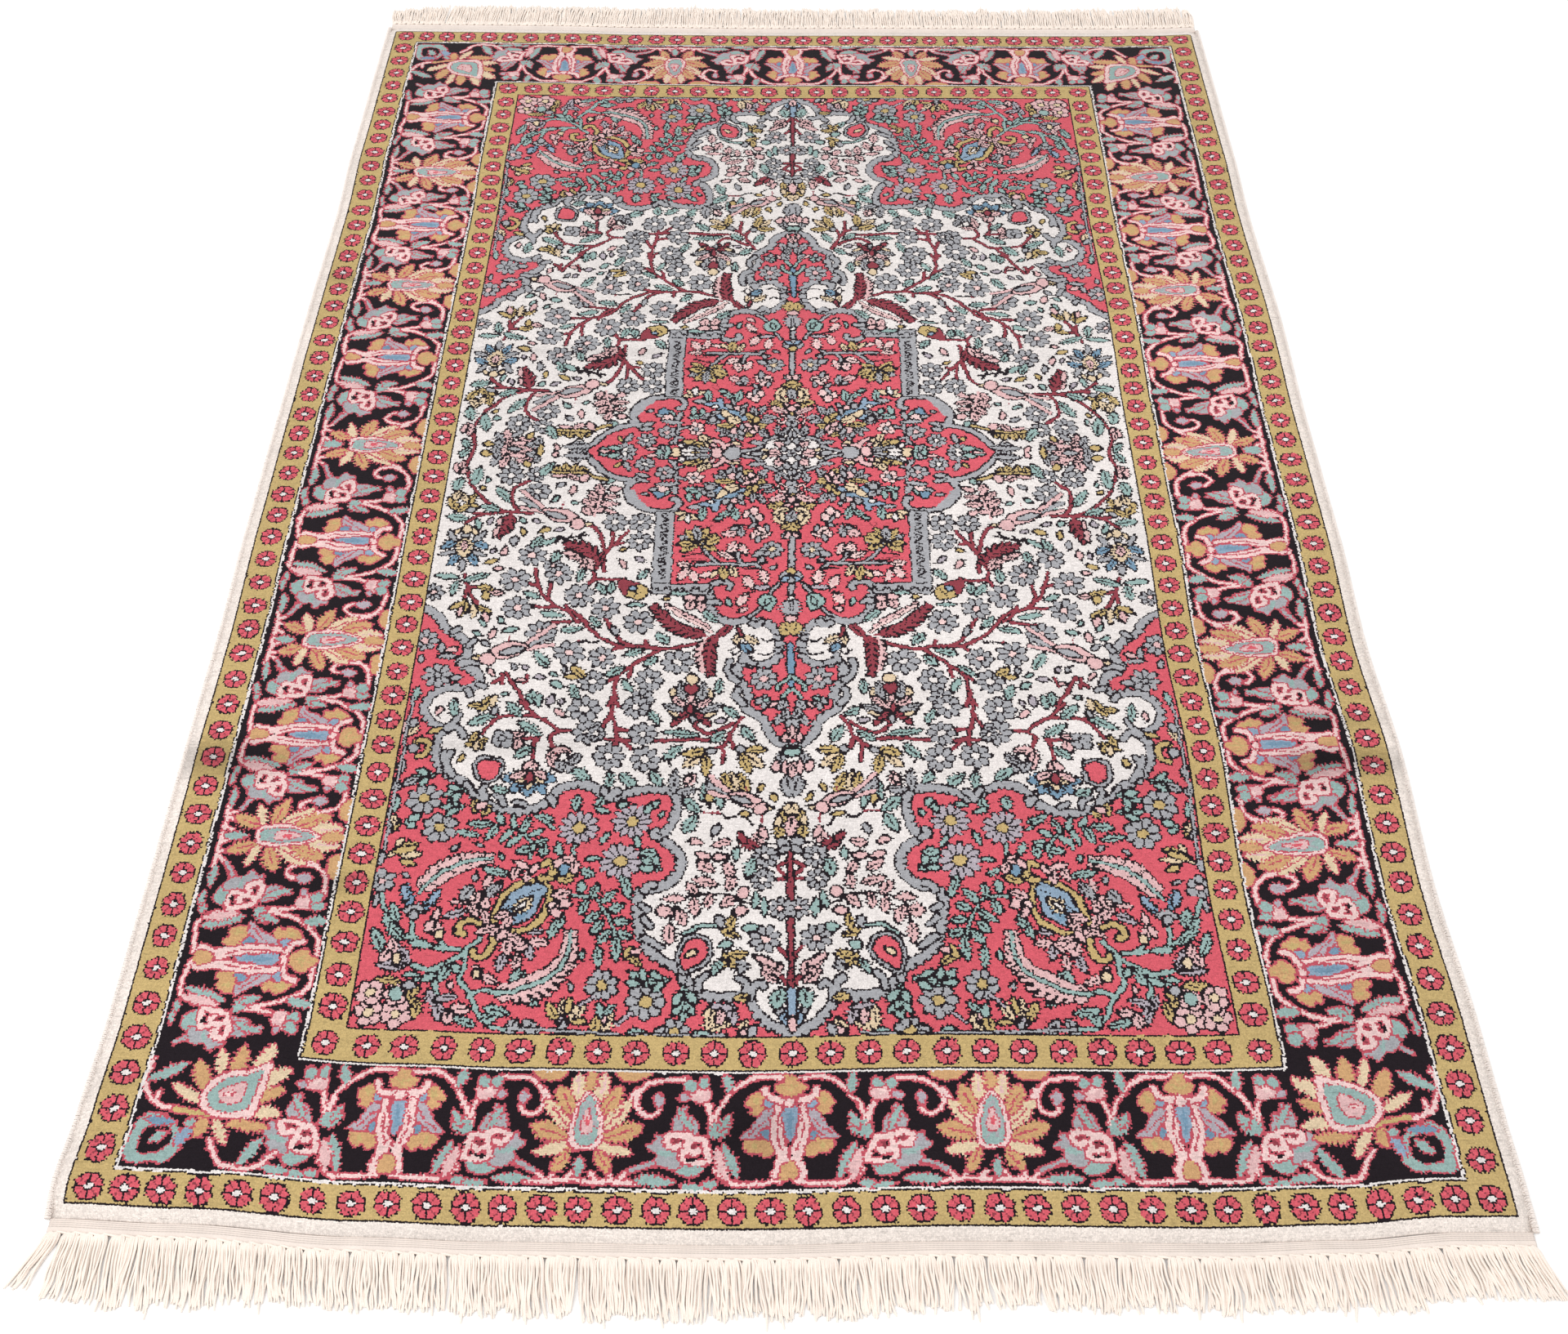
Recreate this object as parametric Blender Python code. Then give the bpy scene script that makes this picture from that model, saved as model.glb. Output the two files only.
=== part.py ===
"""Hand-knotted wool rug, lying flat: pile body, two side cords, two flat-woven ends, two fringes.

Metres, +Z up.  The rug is made along +Y: the weaver starts at the near end (-Y) and finishes at the
far end (+Y).  The origin is the middle of the whole rug's footprint, on the floor.
"""
from collections import namedtuple

import bmesh
import bpy

# ---- driving dimensions ---------------------------------------------------------------------------
GROUND_HALF_WIDTH = 0.598     # middle of the rug to the outline of its drawn border, at the sides
GROUND_HALF_LENGTH = 0.916    # the same at the ends
SIDE_MARGIN = 0.010           # plain pile outside the drawn border, at the sides
END_MARGIN = {"near": 0.0125, "far": 0.0140}
PILE_THICKNESS = 0.0075       # foundation and pile together
CORD_DIAMETER = 0.0055        # overcast side cord
WEB_DEPTH = {"near": 0.0105, "far": 0.0150}
WEB_THICKNESS = 0.0026        # flat-woven end
FRINGE_THICKNESS = 0.0030     # cotton ends lying on the floor
FRINGE_HEAD = 0.0035          # the knotted row that the tassels hang from
TASSELS = 92                  # at each end
TASSEL_SLOT = 0.0024          # opening between two tassels, at their heads
TIP_SLOT = 0.0050             # the same at their tips
GAP = 0.0003                  # between pieces that touch on the real rug

COLUMNS = 30                  # divisions across the rug
ROWS = 44                     # divisions along the rug

# How far the drawn border strays outwards, at places along the sides and across the ends.
SideDrift = namedtuple("SideDrift", "y left right")
SIDE_DRIFT = [
    SideDrift(-0.93, -0.0030, 0.0030),
    SideDrift(-0.89, 0.0005, 0.0030),
    SideDrift(-0.83, -0.0035, 0.0020),
    SideDrift(-0.74, -0.0065, 0.0020),
    SideDrift(-0.60, -0.0065, -0.0025),
    SideDrift(-0.44, -0.0055, 0.0025),
    SideDrift(-0.30, -0.0055, -0.0020),
    SideDrift(-0.14, -0.0025, 0.0025),
    SideDrift(0.05, -0.0010, 0.0030),
    SideDrift(0.26, 0.0000, 0.0070),
    SideDrift(0.45, -0.0010, 0.0040),
    SideDrift(0.60, 0.0030, 0.0070),
    SideDrift(0.93, 0.0040, 0.0078),
]
EndDrift = namedtuple("EndDrift", "x near far")
END_DRIFT = [
    EndDrift(-0.60, -0.0068, 0.0008),
    EndDrift(-0.50, -0.0028, -0.0005),
    EndDrift(-0.35, 0.0074, -0.0026),
    EndDrift(-0.24, 0.0110, -0.0070),
    EndDrift(-0.05, 0.0130, -0.0095),
    EndDrift(0.15, 0.0084, -0.0080),
    EndDrift(0.34, 0.0095, -0.0084),
    EndDrift(0.45, 0.0060, -0.0080),
    EndDrift(0.54, -0.0010, -0.0060),
    EndDrift(0.60, -0.0014, -0.0020),
]

# Fringe: tassel length, and how far the tips swing sideways, at places across each end.
Hang = namedtuple("Hang", "x near_length near_swing far_length far_swing")
HANG = [
    Hang(-0.60, 0.050, -0.0201, 0.046, -0.0060),
    Hang(-0.56, 0.058, -0.0160, 0.052, -0.0020),
    Hang(-0.50, 0.057, -0.0070, 0.056, 0.0010),
    Hang(-0.42, 0.049, -0.0010, 0.057, 0.0000),
    Hang(-0.20, 0.049, -0.0020, 0.060, 0.0020),
    Hang(0.00, 0.0485, 0.0000, 0.060, 0.0000),
    Hang(0.20, 0.043, 0.0050, 0.057, -0.0010),
    Hang(0.35, 0.044, 0.0080, 0.057, 0.0010),
    Hang(0.50, 0.047, 0.0110, 0.057, 0.0020),
    Hang(0.60, 0.046, 0.0145, 0.057, 0.0040),
]

# Soft swells left in the pile after folding: low ridges that run across the rug.
Swell = namedtuple("Swell", "y height reach")
SWELLS = [
    Swell(-0.43, 0.0013, 0.055),
    Swell(-0.12, 0.0006, 0.080),
    Swell(0.16, 0.0009, 0.070),
    Swell(0.56, 0.0008, 0.090),
]


# ---- outline --------------------------------------------------------------------------------------
def ease(t):
    """0 to 1 with no corner at either end."""
    return t * t * (3.0 - 2.0 * t)


def read(table, place, column):
    """The value of a table's column at a place, eased between its rows."""
    if place <= table[0][0]:
        return getattr(table[0], column)
    for low, high in zip(table, table[1:]):
        if place <= high[0]:
            share = ease((place - low[0]) / (high[0] - low[0]))
            return getattr(low, column) * (1.0 - share) + getattr(high, column) * share
    return getattr(table[-1], column)


def side_x(side, y, beyond=0.0):
    """x of the drawn border's outline at one side, moved outwards by beyond."""
    reach = GROUND_HALF_WIDTH + read(SIDE_DRIFT, y, side) + beyond
    return -reach if side == "left" else reach


def end_y(end, x, beyond=0.0):
    """y of the drawn border's outline at one end, moved outwards by beyond."""
    reach = GROUND_HALF_LENGTH + read(END_DRIFT, x, end) + beyond
    return -reach if end == "near" else reach


def between(low, high, share):
    return low + (high - low) * share


def swell(y):
    """Height of the low ridges at a place along the rug."""
    height = 0.0
    for ridge in SWELLS:
        share = 1.0 - min(abs(y - ridge.y) / ridge.reach, 1.0)
        height += ridge.height * ease(share)
    return height


# ---- making pieces --------------------------------------------------------------------------------
def fresh_scene():
    for thing in list(bpy.data.objects):
        bpy.data.objects.remove(thing, do_unlink=True)
    rug = bpy.data.collections.new("hand_knotted_rug")
    bpy.context.scene.collection.children.link(rug)
    return rug


def yarn(name, colour, roughness):
    """A plain woollen or cotton finish for one piece."""
    material = bpy.data.materials.new(name)
    material.use_nodes = True
    surface = material.node_tree.nodes["Principled BSDF"]
    surface.inputs["Base Color"].default_value = (*colour, 1.0)
    surface.inputs["Roughness"].default_value = roughness
    surface.inputs["Metallic"].default_value = 0.0
    return material


def add_piece(rug, name, data, material):
    piece = bpy.data.objects.new(name, data)
    piece.data.materials.append(material)
    rug.objects.link(piece)
    return piece


def slab(rug, name, material, columns, rows, outline, height):
    """A closed sheet on the floor: a grid pulled to its outline, then raised.

    outline takes shares from 0 to 1 across and along and gives x, y; height takes y and gives z.
    """
    mesh = bmesh.new()
    bmesh.ops.create_grid(mesh, x_segments=columns, y_segments=rows, size=0.5)
    for corner in mesh.verts:
        x, y = outline(corner.co.x + 0.5, corner.co.y + 0.5)
        corner.co = (x, y, 0.0)
    floor_faces = list(mesh.faces)
    raised = bmesh.ops.extrude_face_region(mesh, geom=floor_faces, use_keep_orig=True)["geom"]
    for corner in raised:
        if isinstance(corner, bmesh.types.BMVert):
            corner.co.z = height(corner.co.y)
    bmesh.ops.dissolve_faces(mesh, faces=floor_faces, use_verts=False)
    bmesh.ops.recalc_face_normals(mesh, faces=mesh.faces)
    data = bpy.data.meshes.new(name)
    mesh.to_mesh(data)
    mesh.free()
    return add_piece(rug, name, data, material)


def body_point(across, along):
    """The pile body's plan: straight shares between its four uneven edges."""
    flat_x = between(-GROUND_HALF_WIDTH, GROUND_HALF_WIDTH, across)
    near = end_y("near", flat_x, END_MARGIN["near"])
    far = end_y("far", flat_x, END_MARGIN["far"])
    y = between(near, far, along)
    return between(side_x("left", y, SIDE_MARGIN), side_x("right", y, SIDE_MARGIN), across), y


def body(rug):
    material = yarn("wool_pile", (0.60, 0.22, 0.22), 0.95)
    return slab(rug, "pile_body", material, COLUMNS, ROWS, body_point,
                lambda y: PILE_THICKNESS + swell(y))


def web(rug, end):
    """The flat-woven strip that locks the last row of knots."""
    outer = 1.0 if end == "far" else 0.0

    def point(across, along):
        x, edge = body_point(across, outer)
        depth = between(GAP, WEB_DEPTH[end], along if end == "far" else 1.0 - along)
        return x, edge + depth if end == "far" else edge - depth

    material = yarn(end + "_cotton_web", (0.84, 0.77, 0.71), 0.9)
    return slab(rug, end + "_web", material, COLUMNS, 1, point, lambda y: WEB_THICKNESS)


def side_cord(rug, side):
    """The outermost warps, wrapped with yarn into a round cord."""
    across = 0.0 if side == "left" else 1.0
    away = (GAP + CORD_DIAMETER / 2.0) * (1.0 if side == "right" else -1.0)
    line = bpy.data.curves.new(side + "_cord", "CURVE")
    line.dimensions = "3D"
    line.bevel_depth = CORD_DIAMETER / 2.0
    line.bevel_resolution = 2
    line.use_fill_caps = True
    route = line.splines.new("POLY")
    route.points.add(ROWS)
    for row, point in enumerate(route.points):
        x, y = body_point(across, row / ROWS)
        point.co = (x + away, y, CORD_DIAMETER / 2.0 + GAP, 1.0)
    return add_piece(rug, side + "_cord", line, yarn(side + "_overcast_yarn", (0.82, 0.75, 0.70), 0.95))


def fringe(rug, end):
    """One comb: a narrow head along the web, with every tassel as a tooth."""
    way = 1.0 if end == "far" else -1.0
    share_of_end = 1.0 if end == "far" else 0.0

    def root(across, deep):
        x, edge = body_point(across, share_of_end)
        return x, edge + way * (WEB_DEPTH[end] + deep)

    outline = [root(column / COLUMNS, GAP) for column in range(COLUMNS + 1)]
    for tassel in reversed(range(TASSELS)):
        middle_x, _ = root((tassel + 0.5) / TASSELS, 0.0)
        length = read(HANG, middle_x, end + "_length")
        swing = read(HANG, middle_x, end + "_swing")
        for edge, inwards in (((tassel + 1) / TASSELS, -0.5), (tassel / TASSELS, 0.5)):
            top_x, top_y = root(edge, FRINGE_HEAD)
            tip_x, tip_y = root(edge, length)
            top = (top_x + inwards * TASSEL_SLOT, top_y)
            tip = (tip_x + inwards * TIP_SLOT + swing, tip_y)
            outline += [top, tip] if inwards < 0.0 else [tip, top]

    comb = bpy.data.curves.new(end + "_fringe", "CURVE")
    comb.dimensions = "2D"
    comb.fill_mode = "BOTH"
    comb.extrude = FRINGE_THICKNESS / 2.0
    edge_line = comb.splines.new("POLY")
    edge_line.points.add(len(outline) - 1)
    for point, (x, y) in zip(edge_line.points, outline):
        point.co = (x, y, 0.0, 1.0)
    edge_line.use_cyclic_u = True
    piece = add_piece(rug, end + "_fringe", comb, yarn(end + "_cotton_fringe", (0.86, 0.78, 0.70), 0.9))
    piece.location.z = FRINGE_THICKNESS / 2.0
    return piece


def build():
    rug = fresh_scene()
    body(rug)
    for side in ("left", "right"):
        side_cord(rug, side)
    for end in ("near", "far"):
        web(rug, end)
        fringe(rug, end)


build()
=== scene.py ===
# %% [markdown]
# # A hand-knotted wool rug, laid flat
# The rug is one thick sheet: thousands of wool tufts, each tied round two cotton warps, row by row.
# Its pattern is nothing but the colour of each knot, so the heart of this lesson is a chart of
# knots, drawn the way a rug designer draws one, and a wool material that reads that chart.
# Round the pile come a yarn-bound cord on each side, a flat-woven strip at each end, and the
# fringe, which is the warps themselves, plied together.

# %% The frame
import math

import bpy
import numpy as np
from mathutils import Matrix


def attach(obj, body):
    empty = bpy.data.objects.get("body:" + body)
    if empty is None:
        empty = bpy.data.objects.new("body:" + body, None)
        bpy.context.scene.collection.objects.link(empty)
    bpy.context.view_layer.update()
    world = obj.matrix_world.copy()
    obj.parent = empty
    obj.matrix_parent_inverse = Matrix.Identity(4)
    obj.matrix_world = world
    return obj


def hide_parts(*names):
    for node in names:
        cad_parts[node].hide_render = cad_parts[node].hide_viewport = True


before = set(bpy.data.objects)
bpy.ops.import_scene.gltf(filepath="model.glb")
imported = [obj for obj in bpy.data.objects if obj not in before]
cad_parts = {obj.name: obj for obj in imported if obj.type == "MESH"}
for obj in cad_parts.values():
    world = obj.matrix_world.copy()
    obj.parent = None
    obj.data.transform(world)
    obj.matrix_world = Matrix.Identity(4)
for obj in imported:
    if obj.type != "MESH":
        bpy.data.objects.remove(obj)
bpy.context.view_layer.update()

# %% [markdown]
# ## Measures
# These are the measures the solids were made with, repeated so that the pieces fall in the same
# place: how far the drawn border strays from a true rectangle, as every hand-woven rug does, how
# long the tassels are, and where folding has left low swells. Values between two rows are eased.
# The near margin is two millimetres narrower than on its solid and the strip beside it as much
# deeper, because a woven strip grips its last rows of knots; the two together take the same room.

# %% Measures of the rug, in metres
GROUND_HALF_WIDTH = 0.598
GROUND_HALF_LENGTH = 0.916
SIDE_MARGIN = 0.010
END_MARGIN = {"near": 0.0105, "far": 0.0140}
PILE_THICKNESS = 0.0075
CORD_DIAMETER = 0.0055
WEB_DEPTH = {"near": 0.0125, "far": 0.0150}
TASSELS = 92
GAP = 0.0003
WAY = {"near": -1.0, "far": 1.0}

# y, left side, right side
SIDE_DRIFT = np.array([
    (-0.93, -0.0030, 0.0030), (-0.89, 0.0005, 0.0030), (-0.83, -0.0035, 0.0020),
    (-0.74, -0.0065, 0.0020), (-0.60, -0.0065, -0.0025), (-0.44, -0.0055, 0.0025),
    (-0.30, -0.0055, -0.0020), (-0.14, -0.0025, 0.0025), (0.05, -0.0010, 0.0030),
    (0.26, 0.0000, 0.0070), (0.45, -0.0010, 0.0040), (0.60, 0.0030, 0.0070),
    (0.93, 0.0040, 0.0078)])
# x, near end, far end
END_DRIFT = np.array([
    (-0.60, -0.0068, 0.0008), (-0.50, -0.0028, -0.0005), (-0.35, 0.0074, -0.0026),
    (-0.24, 0.0110, -0.0070), (-0.05, 0.0130, -0.0095), (0.15, 0.0084, -0.0080),
    (0.34, 0.0095, -0.0084), (0.45, 0.0060, -0.0080), (0.54, -0.0010, -0.0060),
    (0.60, -0.0014, -0.0020)])
# x, near length, near swing, far length, far swing
HANG = np.array([
    (-0.60, 0.050, -0.0195, 0.046, -0.0060), (-0.585, 0.056, -0.0060, 0.050, -0.0030),
    (-0.56, 0.060, 0.0010, 0.055, -0.0020), (-0.50, 0.057, 0.0055, 0.058, 0.0010),
    (-0.42, 0.049, 0.0060, 0.059, 0.0000), (-0.20, 0.049, 0.0045, 0.061, 0.0020),
    (0.00, 0.0485, 0.0030, 0.061, 0.0000), (0.20, 0.043, 0.0030, 0.058, -0.0010),
    (0.35, 0.044, 0.0020, 0.058, 0.0010), (0.50, 0.047, 0.0050, 0.059, 0.0020),
    (0.57, 0.047, 0.0100, 0.059, 0.0030), (0.60, 0.046, 0.0160, 0.058, 0.0040)])
# y, height, reach
SWELLS = [(-0.43, 0.0013, 0.055), (-0.12, 0.0006, 0.080), (0.16, 0.0009, 0.070), (0.56, 0.0008, 0.090)]


def read(table, place, column):
    """A table's column at many places, eased between its rows."""
    place = np.clip(np.asarray(place, float), table[0, 0], table[-1, 0])
    low = np.clip(np.searchsorted(table[:, 0], place) - 1, 0, len(table) - 2)
    share = (place - table[low, 0]) / (table[low + 1, 0] - table[low, 0])
    share = share * share * (3 - 2 * share)
    return table[low, column] * (1 - share) + table[low + 1, column] * share


def rising(share):
    """Nothing below 0, all of it above 1, and smooth between."""
    share = np.clip(share, 0, 1)
    return share * share * (3 - 2 * share)


def side_x(side, y, beyond=0.0):
    """x of the drawn border's outline at one side, moved outwards by beyond."""
    reach = GROUND_HALF_WIDTH + read(SIDE_DRIFT, y, 1 if side == "left" else 2) + beyond
    return -reach if side == "left" else reach


def end_y(end, x, beyond=0.0):
    """y of the drawn border's outline at one end, moved outwards by beyond."""
    reach = GROUND_HALF_LENGTH + read(END_DRIFT, x, 1 if end == "near" else 2) + beyond
    return WAY[end] * reach


def swell(y):
    """Height of the low ridges at a place along the rug."""
    height = np.zeros_like(np.asarray(y, float))
    for middle, rise, reach in SWELLS:
        share = 1 - np.clip(np.abs(y - middle) / reach, 0, 1)
        height += rise * share * share * (3 - 2 * share)
    return height


def body_edge(across, end):
    """The pile's outline at one end, at shares from 0 to 1 across it."""
    y = end_y(end, (2 * across - 1) * GROUND_HALF_WIDTH, END_MARGIN[end])
    left, right = side_x("left", y, SIDE_MARGIN), side_x("right", y, SIDE_MARGIN)
    return left + (right - left) * across, y


print("drawn border", 2 * GROUND_HALF_WIDTH, "x", 2 * GROUND_HALF_LENGTH, "m")

# %% [markdown]
# ## Camera, floor and light
# The rug is looked at from above its near end, standing height, about fifty degrees down. The
# floor is plain and pale. Wool looks like wool in soft light: a bright even sky with one broad
# lamp above the near left corner, which gives the tassels and the pile's edge a faint shadow.

# %% Camera
camera_data = bpy.data.cameras.new("camera")
camera_data.sensor_width = 36.0
camera_data.lens = 38.27
camera_data.clip_start = 0.05
camera = bpy.data.objects.new("camera", camera_data)
camera.location = (0.0006, -1.4390, 1.3489)
camera.rotation_euler = (math.radians(90) - 0.8816, 0.0, 0.0052)
bpy.context.scene.collection.objects.link(camera)
bpy.context.scene.camera = camera
bpy.context.scene.view_settings.view_transform = "Standard"
print("camera at", tuple(camera.location))


# %% Floor and light
def wire(tree, source, target):
    """Joins two sockets, or sets the target if the source is a plain value."""
    if isinstance(source, bpy.types.NodeSocket):
        tree.links.new(source, target)
    elif source is not None:
        target.default_value = source


def plain_material(name, colour, roughness):
    material = bpy.data.materials.new(name)
    material.use_nodes = True
    surface = material.node_tree.nodes["Principled BSDF"]
    surface.inputs["Base Color"].default_value = (*colour, 1)
    surface.inputs["Roughness"].default_value = roughness
    return material


floor_mesh = bpy.data.meshes.new("floor")
floor_mesh.from_pydata([(-30, -30, 0), (30, -30, 0), (30, 30, 0), (-30, 30, 0)], [], [(0, 1, 2, 3)])
floor_mesh.materials.append(plain_material("pale_floor", (0.93, 0.93, 0.93), 0.9))
floor = bpy.data.objects.new("floor", floor_mesh)
floor.location.z = -0.0002
bpy.context.scene.collection.objects.link(floor)

SKY_STRENGTH = 1.12
world = bpy.data.worlds.new("soft_sky")
world.use_nodes = True
world.node_tree.nodes["Background"].inputs["Color"].default_value = (1.0, 1.0, 1.0, 1)
world.node_tree.nodes["Background"].inputs["Strength"].default_value = SKY_STRENGTH
bpy.context.scene.world = world


def lamp(name, place, towards, size, power):
    data = bpy.data.lights.new(name, "AREA")
    data.shape = "DISK"
    data.size = size
    data.energy = power
    light = bpy.data.objects.new(name, data)
    light.location = place
    direction = np.array(towards, float) - np.array(place, float)
    flat = math.hypot(direction[0], direction[1])
    light.rotation_euler = (math.pi / 2 + math.atan2(direction[2], flat), 0,
                            math.atan2(direction[1], direction[0]) - math.pi / 2)
    bpy.context.scene.collection.objects.link(light)
    return light


lamp("soft_lamp", (-1.6, -1.2, 2.8), (0, 0, 0), 2.2, 32)
print("sky", SKY_STRENGTH)
# %% [markdown]
# ## The chart of knots
# A rug designer draws on squared paper, one square for each knot. This chart is the same thing as
# an array of small whole numbers, one for each yarn in the weaver's basket. Only a quarter is
# designed: the weaver turns the paper over for the other three. Places on it are in millimetres
# from the middle of the rug, u across it and v along it. No weaver copies a chart exactly: shapes
# swell and shrink by a knot or two, and rows of knots lean to one side. So each knot looks up the
# chart a little off its own square, and every outline comes out ragged, as on a real rug.

# %% Yarns and the empty chart
UNDYED, BLACK, IVORY, RED, GOLD, GREY, TEAL, PINK = range(8)
MAROON, BLUE, CREAM, ORANGE, LILAC, ROSE, BLUSH, SKY = range(8, 16)
HALF_COLUMNS, HALF_ROWS = 374, 573        # knots from the middle to the drawn border's outline
MARGIN_COLUMNS, MARGIN_ROWS = 6, 7        # plain knots outside it
KNOT_U, KNOT_V = 598.0 / HALF_COLUMNS, 916.0 / HALF_ROWS
RIM, THIN_RIM = 2.2, 1.7                  # outlines in black, and in the border's rose

columns_across, rows_along = HALF_COLUMNS + MARGIN_COLUMNS, HALF_ROWS + MARGIN_ROWS
quarter = np.full((rows_along, columns_across), UNDYED, np.uint8)
knot_u, knot_v = np.meshgrid((np.arange(columns_across) + 0.5) * KNOT_U,
                             (np.arange(rows_along) + 0.5) * KNOT_V)
square_u, square_v = knot_u.copy(), knot_v.copy()


def wandering(chance, amount, every):
    """Numbers that change slowly over the chart, with a new one every few knots."""
    small = chance.normal(0, amount, (rows_along // every + 2, columns_across // every + 2))
    column, row = np.arange(columns_across) / every, np.arange(rows_along) / every
    wide = np.array([np.interp(column, np.arange(small.shape[1]), line) for line in small])
    return np.array([np.interp(row, np.arange(small.shape[0]), line) for line in wide.T]).T


def fresh_quarter(seed):
    """An empty chart whose knots stray in their own way, in millimetres."""
    chance = np.random.default_rng(seed)
    quarter[:] = UNDYED
    lean = chance.normal(0, 0.42, (rows_along, columns_across // 6 + 1)).repeat(6, 1)[:, :columns_across]
    for knots, square, leaning in ((knot_u, square_u, lean), (knot_v, square_v, 0.0)):
        knots[:] = square + leaning + chance.uniform(-0.4, 0.4, quarter.shape)
        knots += wandering(chance, 0.7, 4) + wandering(chance, 0.5, 11)


print("a quarter of the chart has", columns_across, "x", rows_along, "knots")

# %% [markdown]
# ## Drawing tools
# Everything on the chart is made with a few tools: a closed shape, a line, a scalloped ribbon, a
# disc, a leaf, a round blossom, a fan of petals, and a plume of leaflets along a rib. Each first
# lays its outline and then its fill, so that what is drawn later lies over what came before, as a
# brush would do it. A pen holds an origin and two directions, so that one border motif can be
# drawn along the ends and, turned, along the sides.

# %% Window, paths and the pen
pen = [0.0, 0.0, 1.0, 0.0, 0.0, 1.0]


def hold_pen(origin=(0, 0), run=(1, 0), rise=(0, 1)):
    pen[:] = [*origin, *run, *rise]


def place(points):
    """Points of a motif, where the pen puts them on the chart."""
    p = np.array(points, float)
    return np.stack([pen[0] + p[:, 0] * pen[2] + p[:, 1] * pen[4],
                     pen[1] + p[:, 0] * pen[3] + p[:, 1] * pen[5]], 1)


def window(u0, u1, v0, v1):
    """The knots inside a box: an editable view of the chart, and where those knots are."""
    columns = slice(*np.clip([int(u0 / KNOT_U) - 1, int(u1 / KNOT_U) + 2], 0, columns_across))
    rows = slice(*np.clip([int(v0 / KNOT_V) - 1, int(v1 / KNOT_V) + 2], 0, rows_along))
    return quarter[rows, columns], knot_u[rows, columns], knot_v[rows, columns]


def window_of(path, reach):
    (u0, v0), (u1, v1) = path.min(0) - reach, path.max(0) + reach
    return window(u0, u1, v0, v1)


def smooth(points, closed, steps=5):
    """A curve through the points."""
    p = np.array(points, float)
    if closed:
        a, b, c, d = np.roll(p, 1, 0), p, np.roll(p, -1, 0), np.roll(p, -2, 0)
    else:
        longer = np.vstack([2 * p[:1] - p[1:2], p, 2 * p[-1:] - p[-2:-1]])
        a, b, c, d = longer[:-3], longer[1:-2], longer[2:-1], longer[3:]
    t = (np.arange(steps) / steps)[None, :, None]
    a, b, c, d = (row[:, None, :] for row in (a, b, c, d))
    curve = b + t / 2 * (c - a + t * (2 * a - 5 * b + 4 * c - d + t * (3 * (b - c) + d - a)))
    curve = curve.reshape(-1, 2)
    return curve if closed else np.vstack([curve, p[-1:]])


def away_from(path, u, v, closed=False):
    """Distance from every knot to a path."""
    starts, ends = (path, np.roll(path, -1, 0)) if closed else (path[:-1], path[1:])
    best = np.full(u.shape, 1e9)
    for (u0, v0), (u1, v1) in zip(starts, ends):
        du, dv = u1 - u0, v1 - v0
        share = np.clip(((u - u0) * du + (v - v0) * dv) / max(du * du + dv * dv, 1e-9), 0, 1)
        best = np.minimum(best, (u - u0 - share * du) ** 2 + (v - v0 - share * dv) ** 2)
    return np.sqrt(best)


def within(path, u, v):
    """Which knots lie inside a closed path."""
    hit = np.zeros(u.shape, bool)
    for (u0, v0), (u1, v1) in zip(path, np.roll(path, -1, 0)):
        if v0 != v1:
            hit ^= ((v0 > v) != (v1 > v)) & (u < (u1 - u0) * (v - v0) / (v1 - v0) + u0)
    return hit


# %% Shapes, lines and leaves
def rim_for(edge):
    return RIM if edge == BLACK else THIN_RIM


def shape(points, fill, edge=BLACK, rim=None, corners=False):
    """A closed shape with round corners, or with sharp ones."""
    rim = rim or rim_for(edge)
    path = place(points)
    if not corners:
        path = smooth(path, True)
    knots, u, v = window_of(path, rim)
    if knots.size == 0:
        return
    inner = within(path, u, v)
    if edge is not None:
        knots[(away_from(path, u, v, True) < rim) & ~inner] = edge
    if fill is not None:
        knots[inner] = fill


def lines(width, fill, paths, edge=BLACK, rim=None):
    """Strokes of one yarn. All their outlines come before their fills, so that they join."""
    rim = rim or rim_for(edge)
    laid = []
    reach = width / 2 + (rim if edge is not None else 0)
    for points in paths:
        path = smooth(place(points), False)
        knots, u, v = window_of(path, reach)
        if knots.size:
            laid.append((knots, away_from(path, u, v)))
    for knots, away in laid:
        if edge is not None:
            knots[away < reach] = edge
    for knots, away in laid:
        if fill is not None:
            knots[away < width / 2] = fill


def leaf(u, v, angle, length, width, fill, edge=BLACK, rim=None, bend=0.0, vein=None, teeth=0.32):
    """A pointed leaf or petal about a middle point. Long ones are toothed and have a vein."""
    rim = rim or rim_for(edge)
    if vein is None and edge == BLACK and length > 13 and width > 6.5:
        vein = edge
    (u, v), = place([(u, v)])
    turn = math.radians(angle)
    du = pen[2] * math.cos(turn) + pen[4] * math.sin(turn)
    dv = pen[3] * math.cos(turn) + pen[5] * math.sin(turn)
    size = math.hypot(du, dv)
    length, width, du, dv = length * size, width * size, du / size, dv / size
    reach = length / 2 + rim * 2
    knots, across, along = window(u - reach, u + reach, v - reach, v + reach)
    if knots.size == 0:
        return
    run = (across - u) * du + (along - v) * dv
    side = (along - v) * du - (across - u) * dv
    side = side - bend * (0.5 - (2 * run / length) ** 2)

    tooth = np.abs((run / 4.6 + 0.3 * np.sign(side)) % 1 - 0.5) * 4 - 1
    ragged = 1 + tooth * teeth * np.clip((length - 11) / 5, 0, 1)

    def lens(long, wide):
        return np.abs(side) < wide / 2 * np.clip(1 - (2 * run / long) ** 2, 0, 1) ** 0.75 * ragged
    if edge is not None:
        knots[lens(length + 2.6 * rim, width + 2 * rim)] = edge
    knots[lens(length, width)] = fill
    if vein is not None:
        knots[(np.abs(side) < 0.85) & (run > -length * 0.42) & (run < length * 0.22)] = vein


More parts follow.
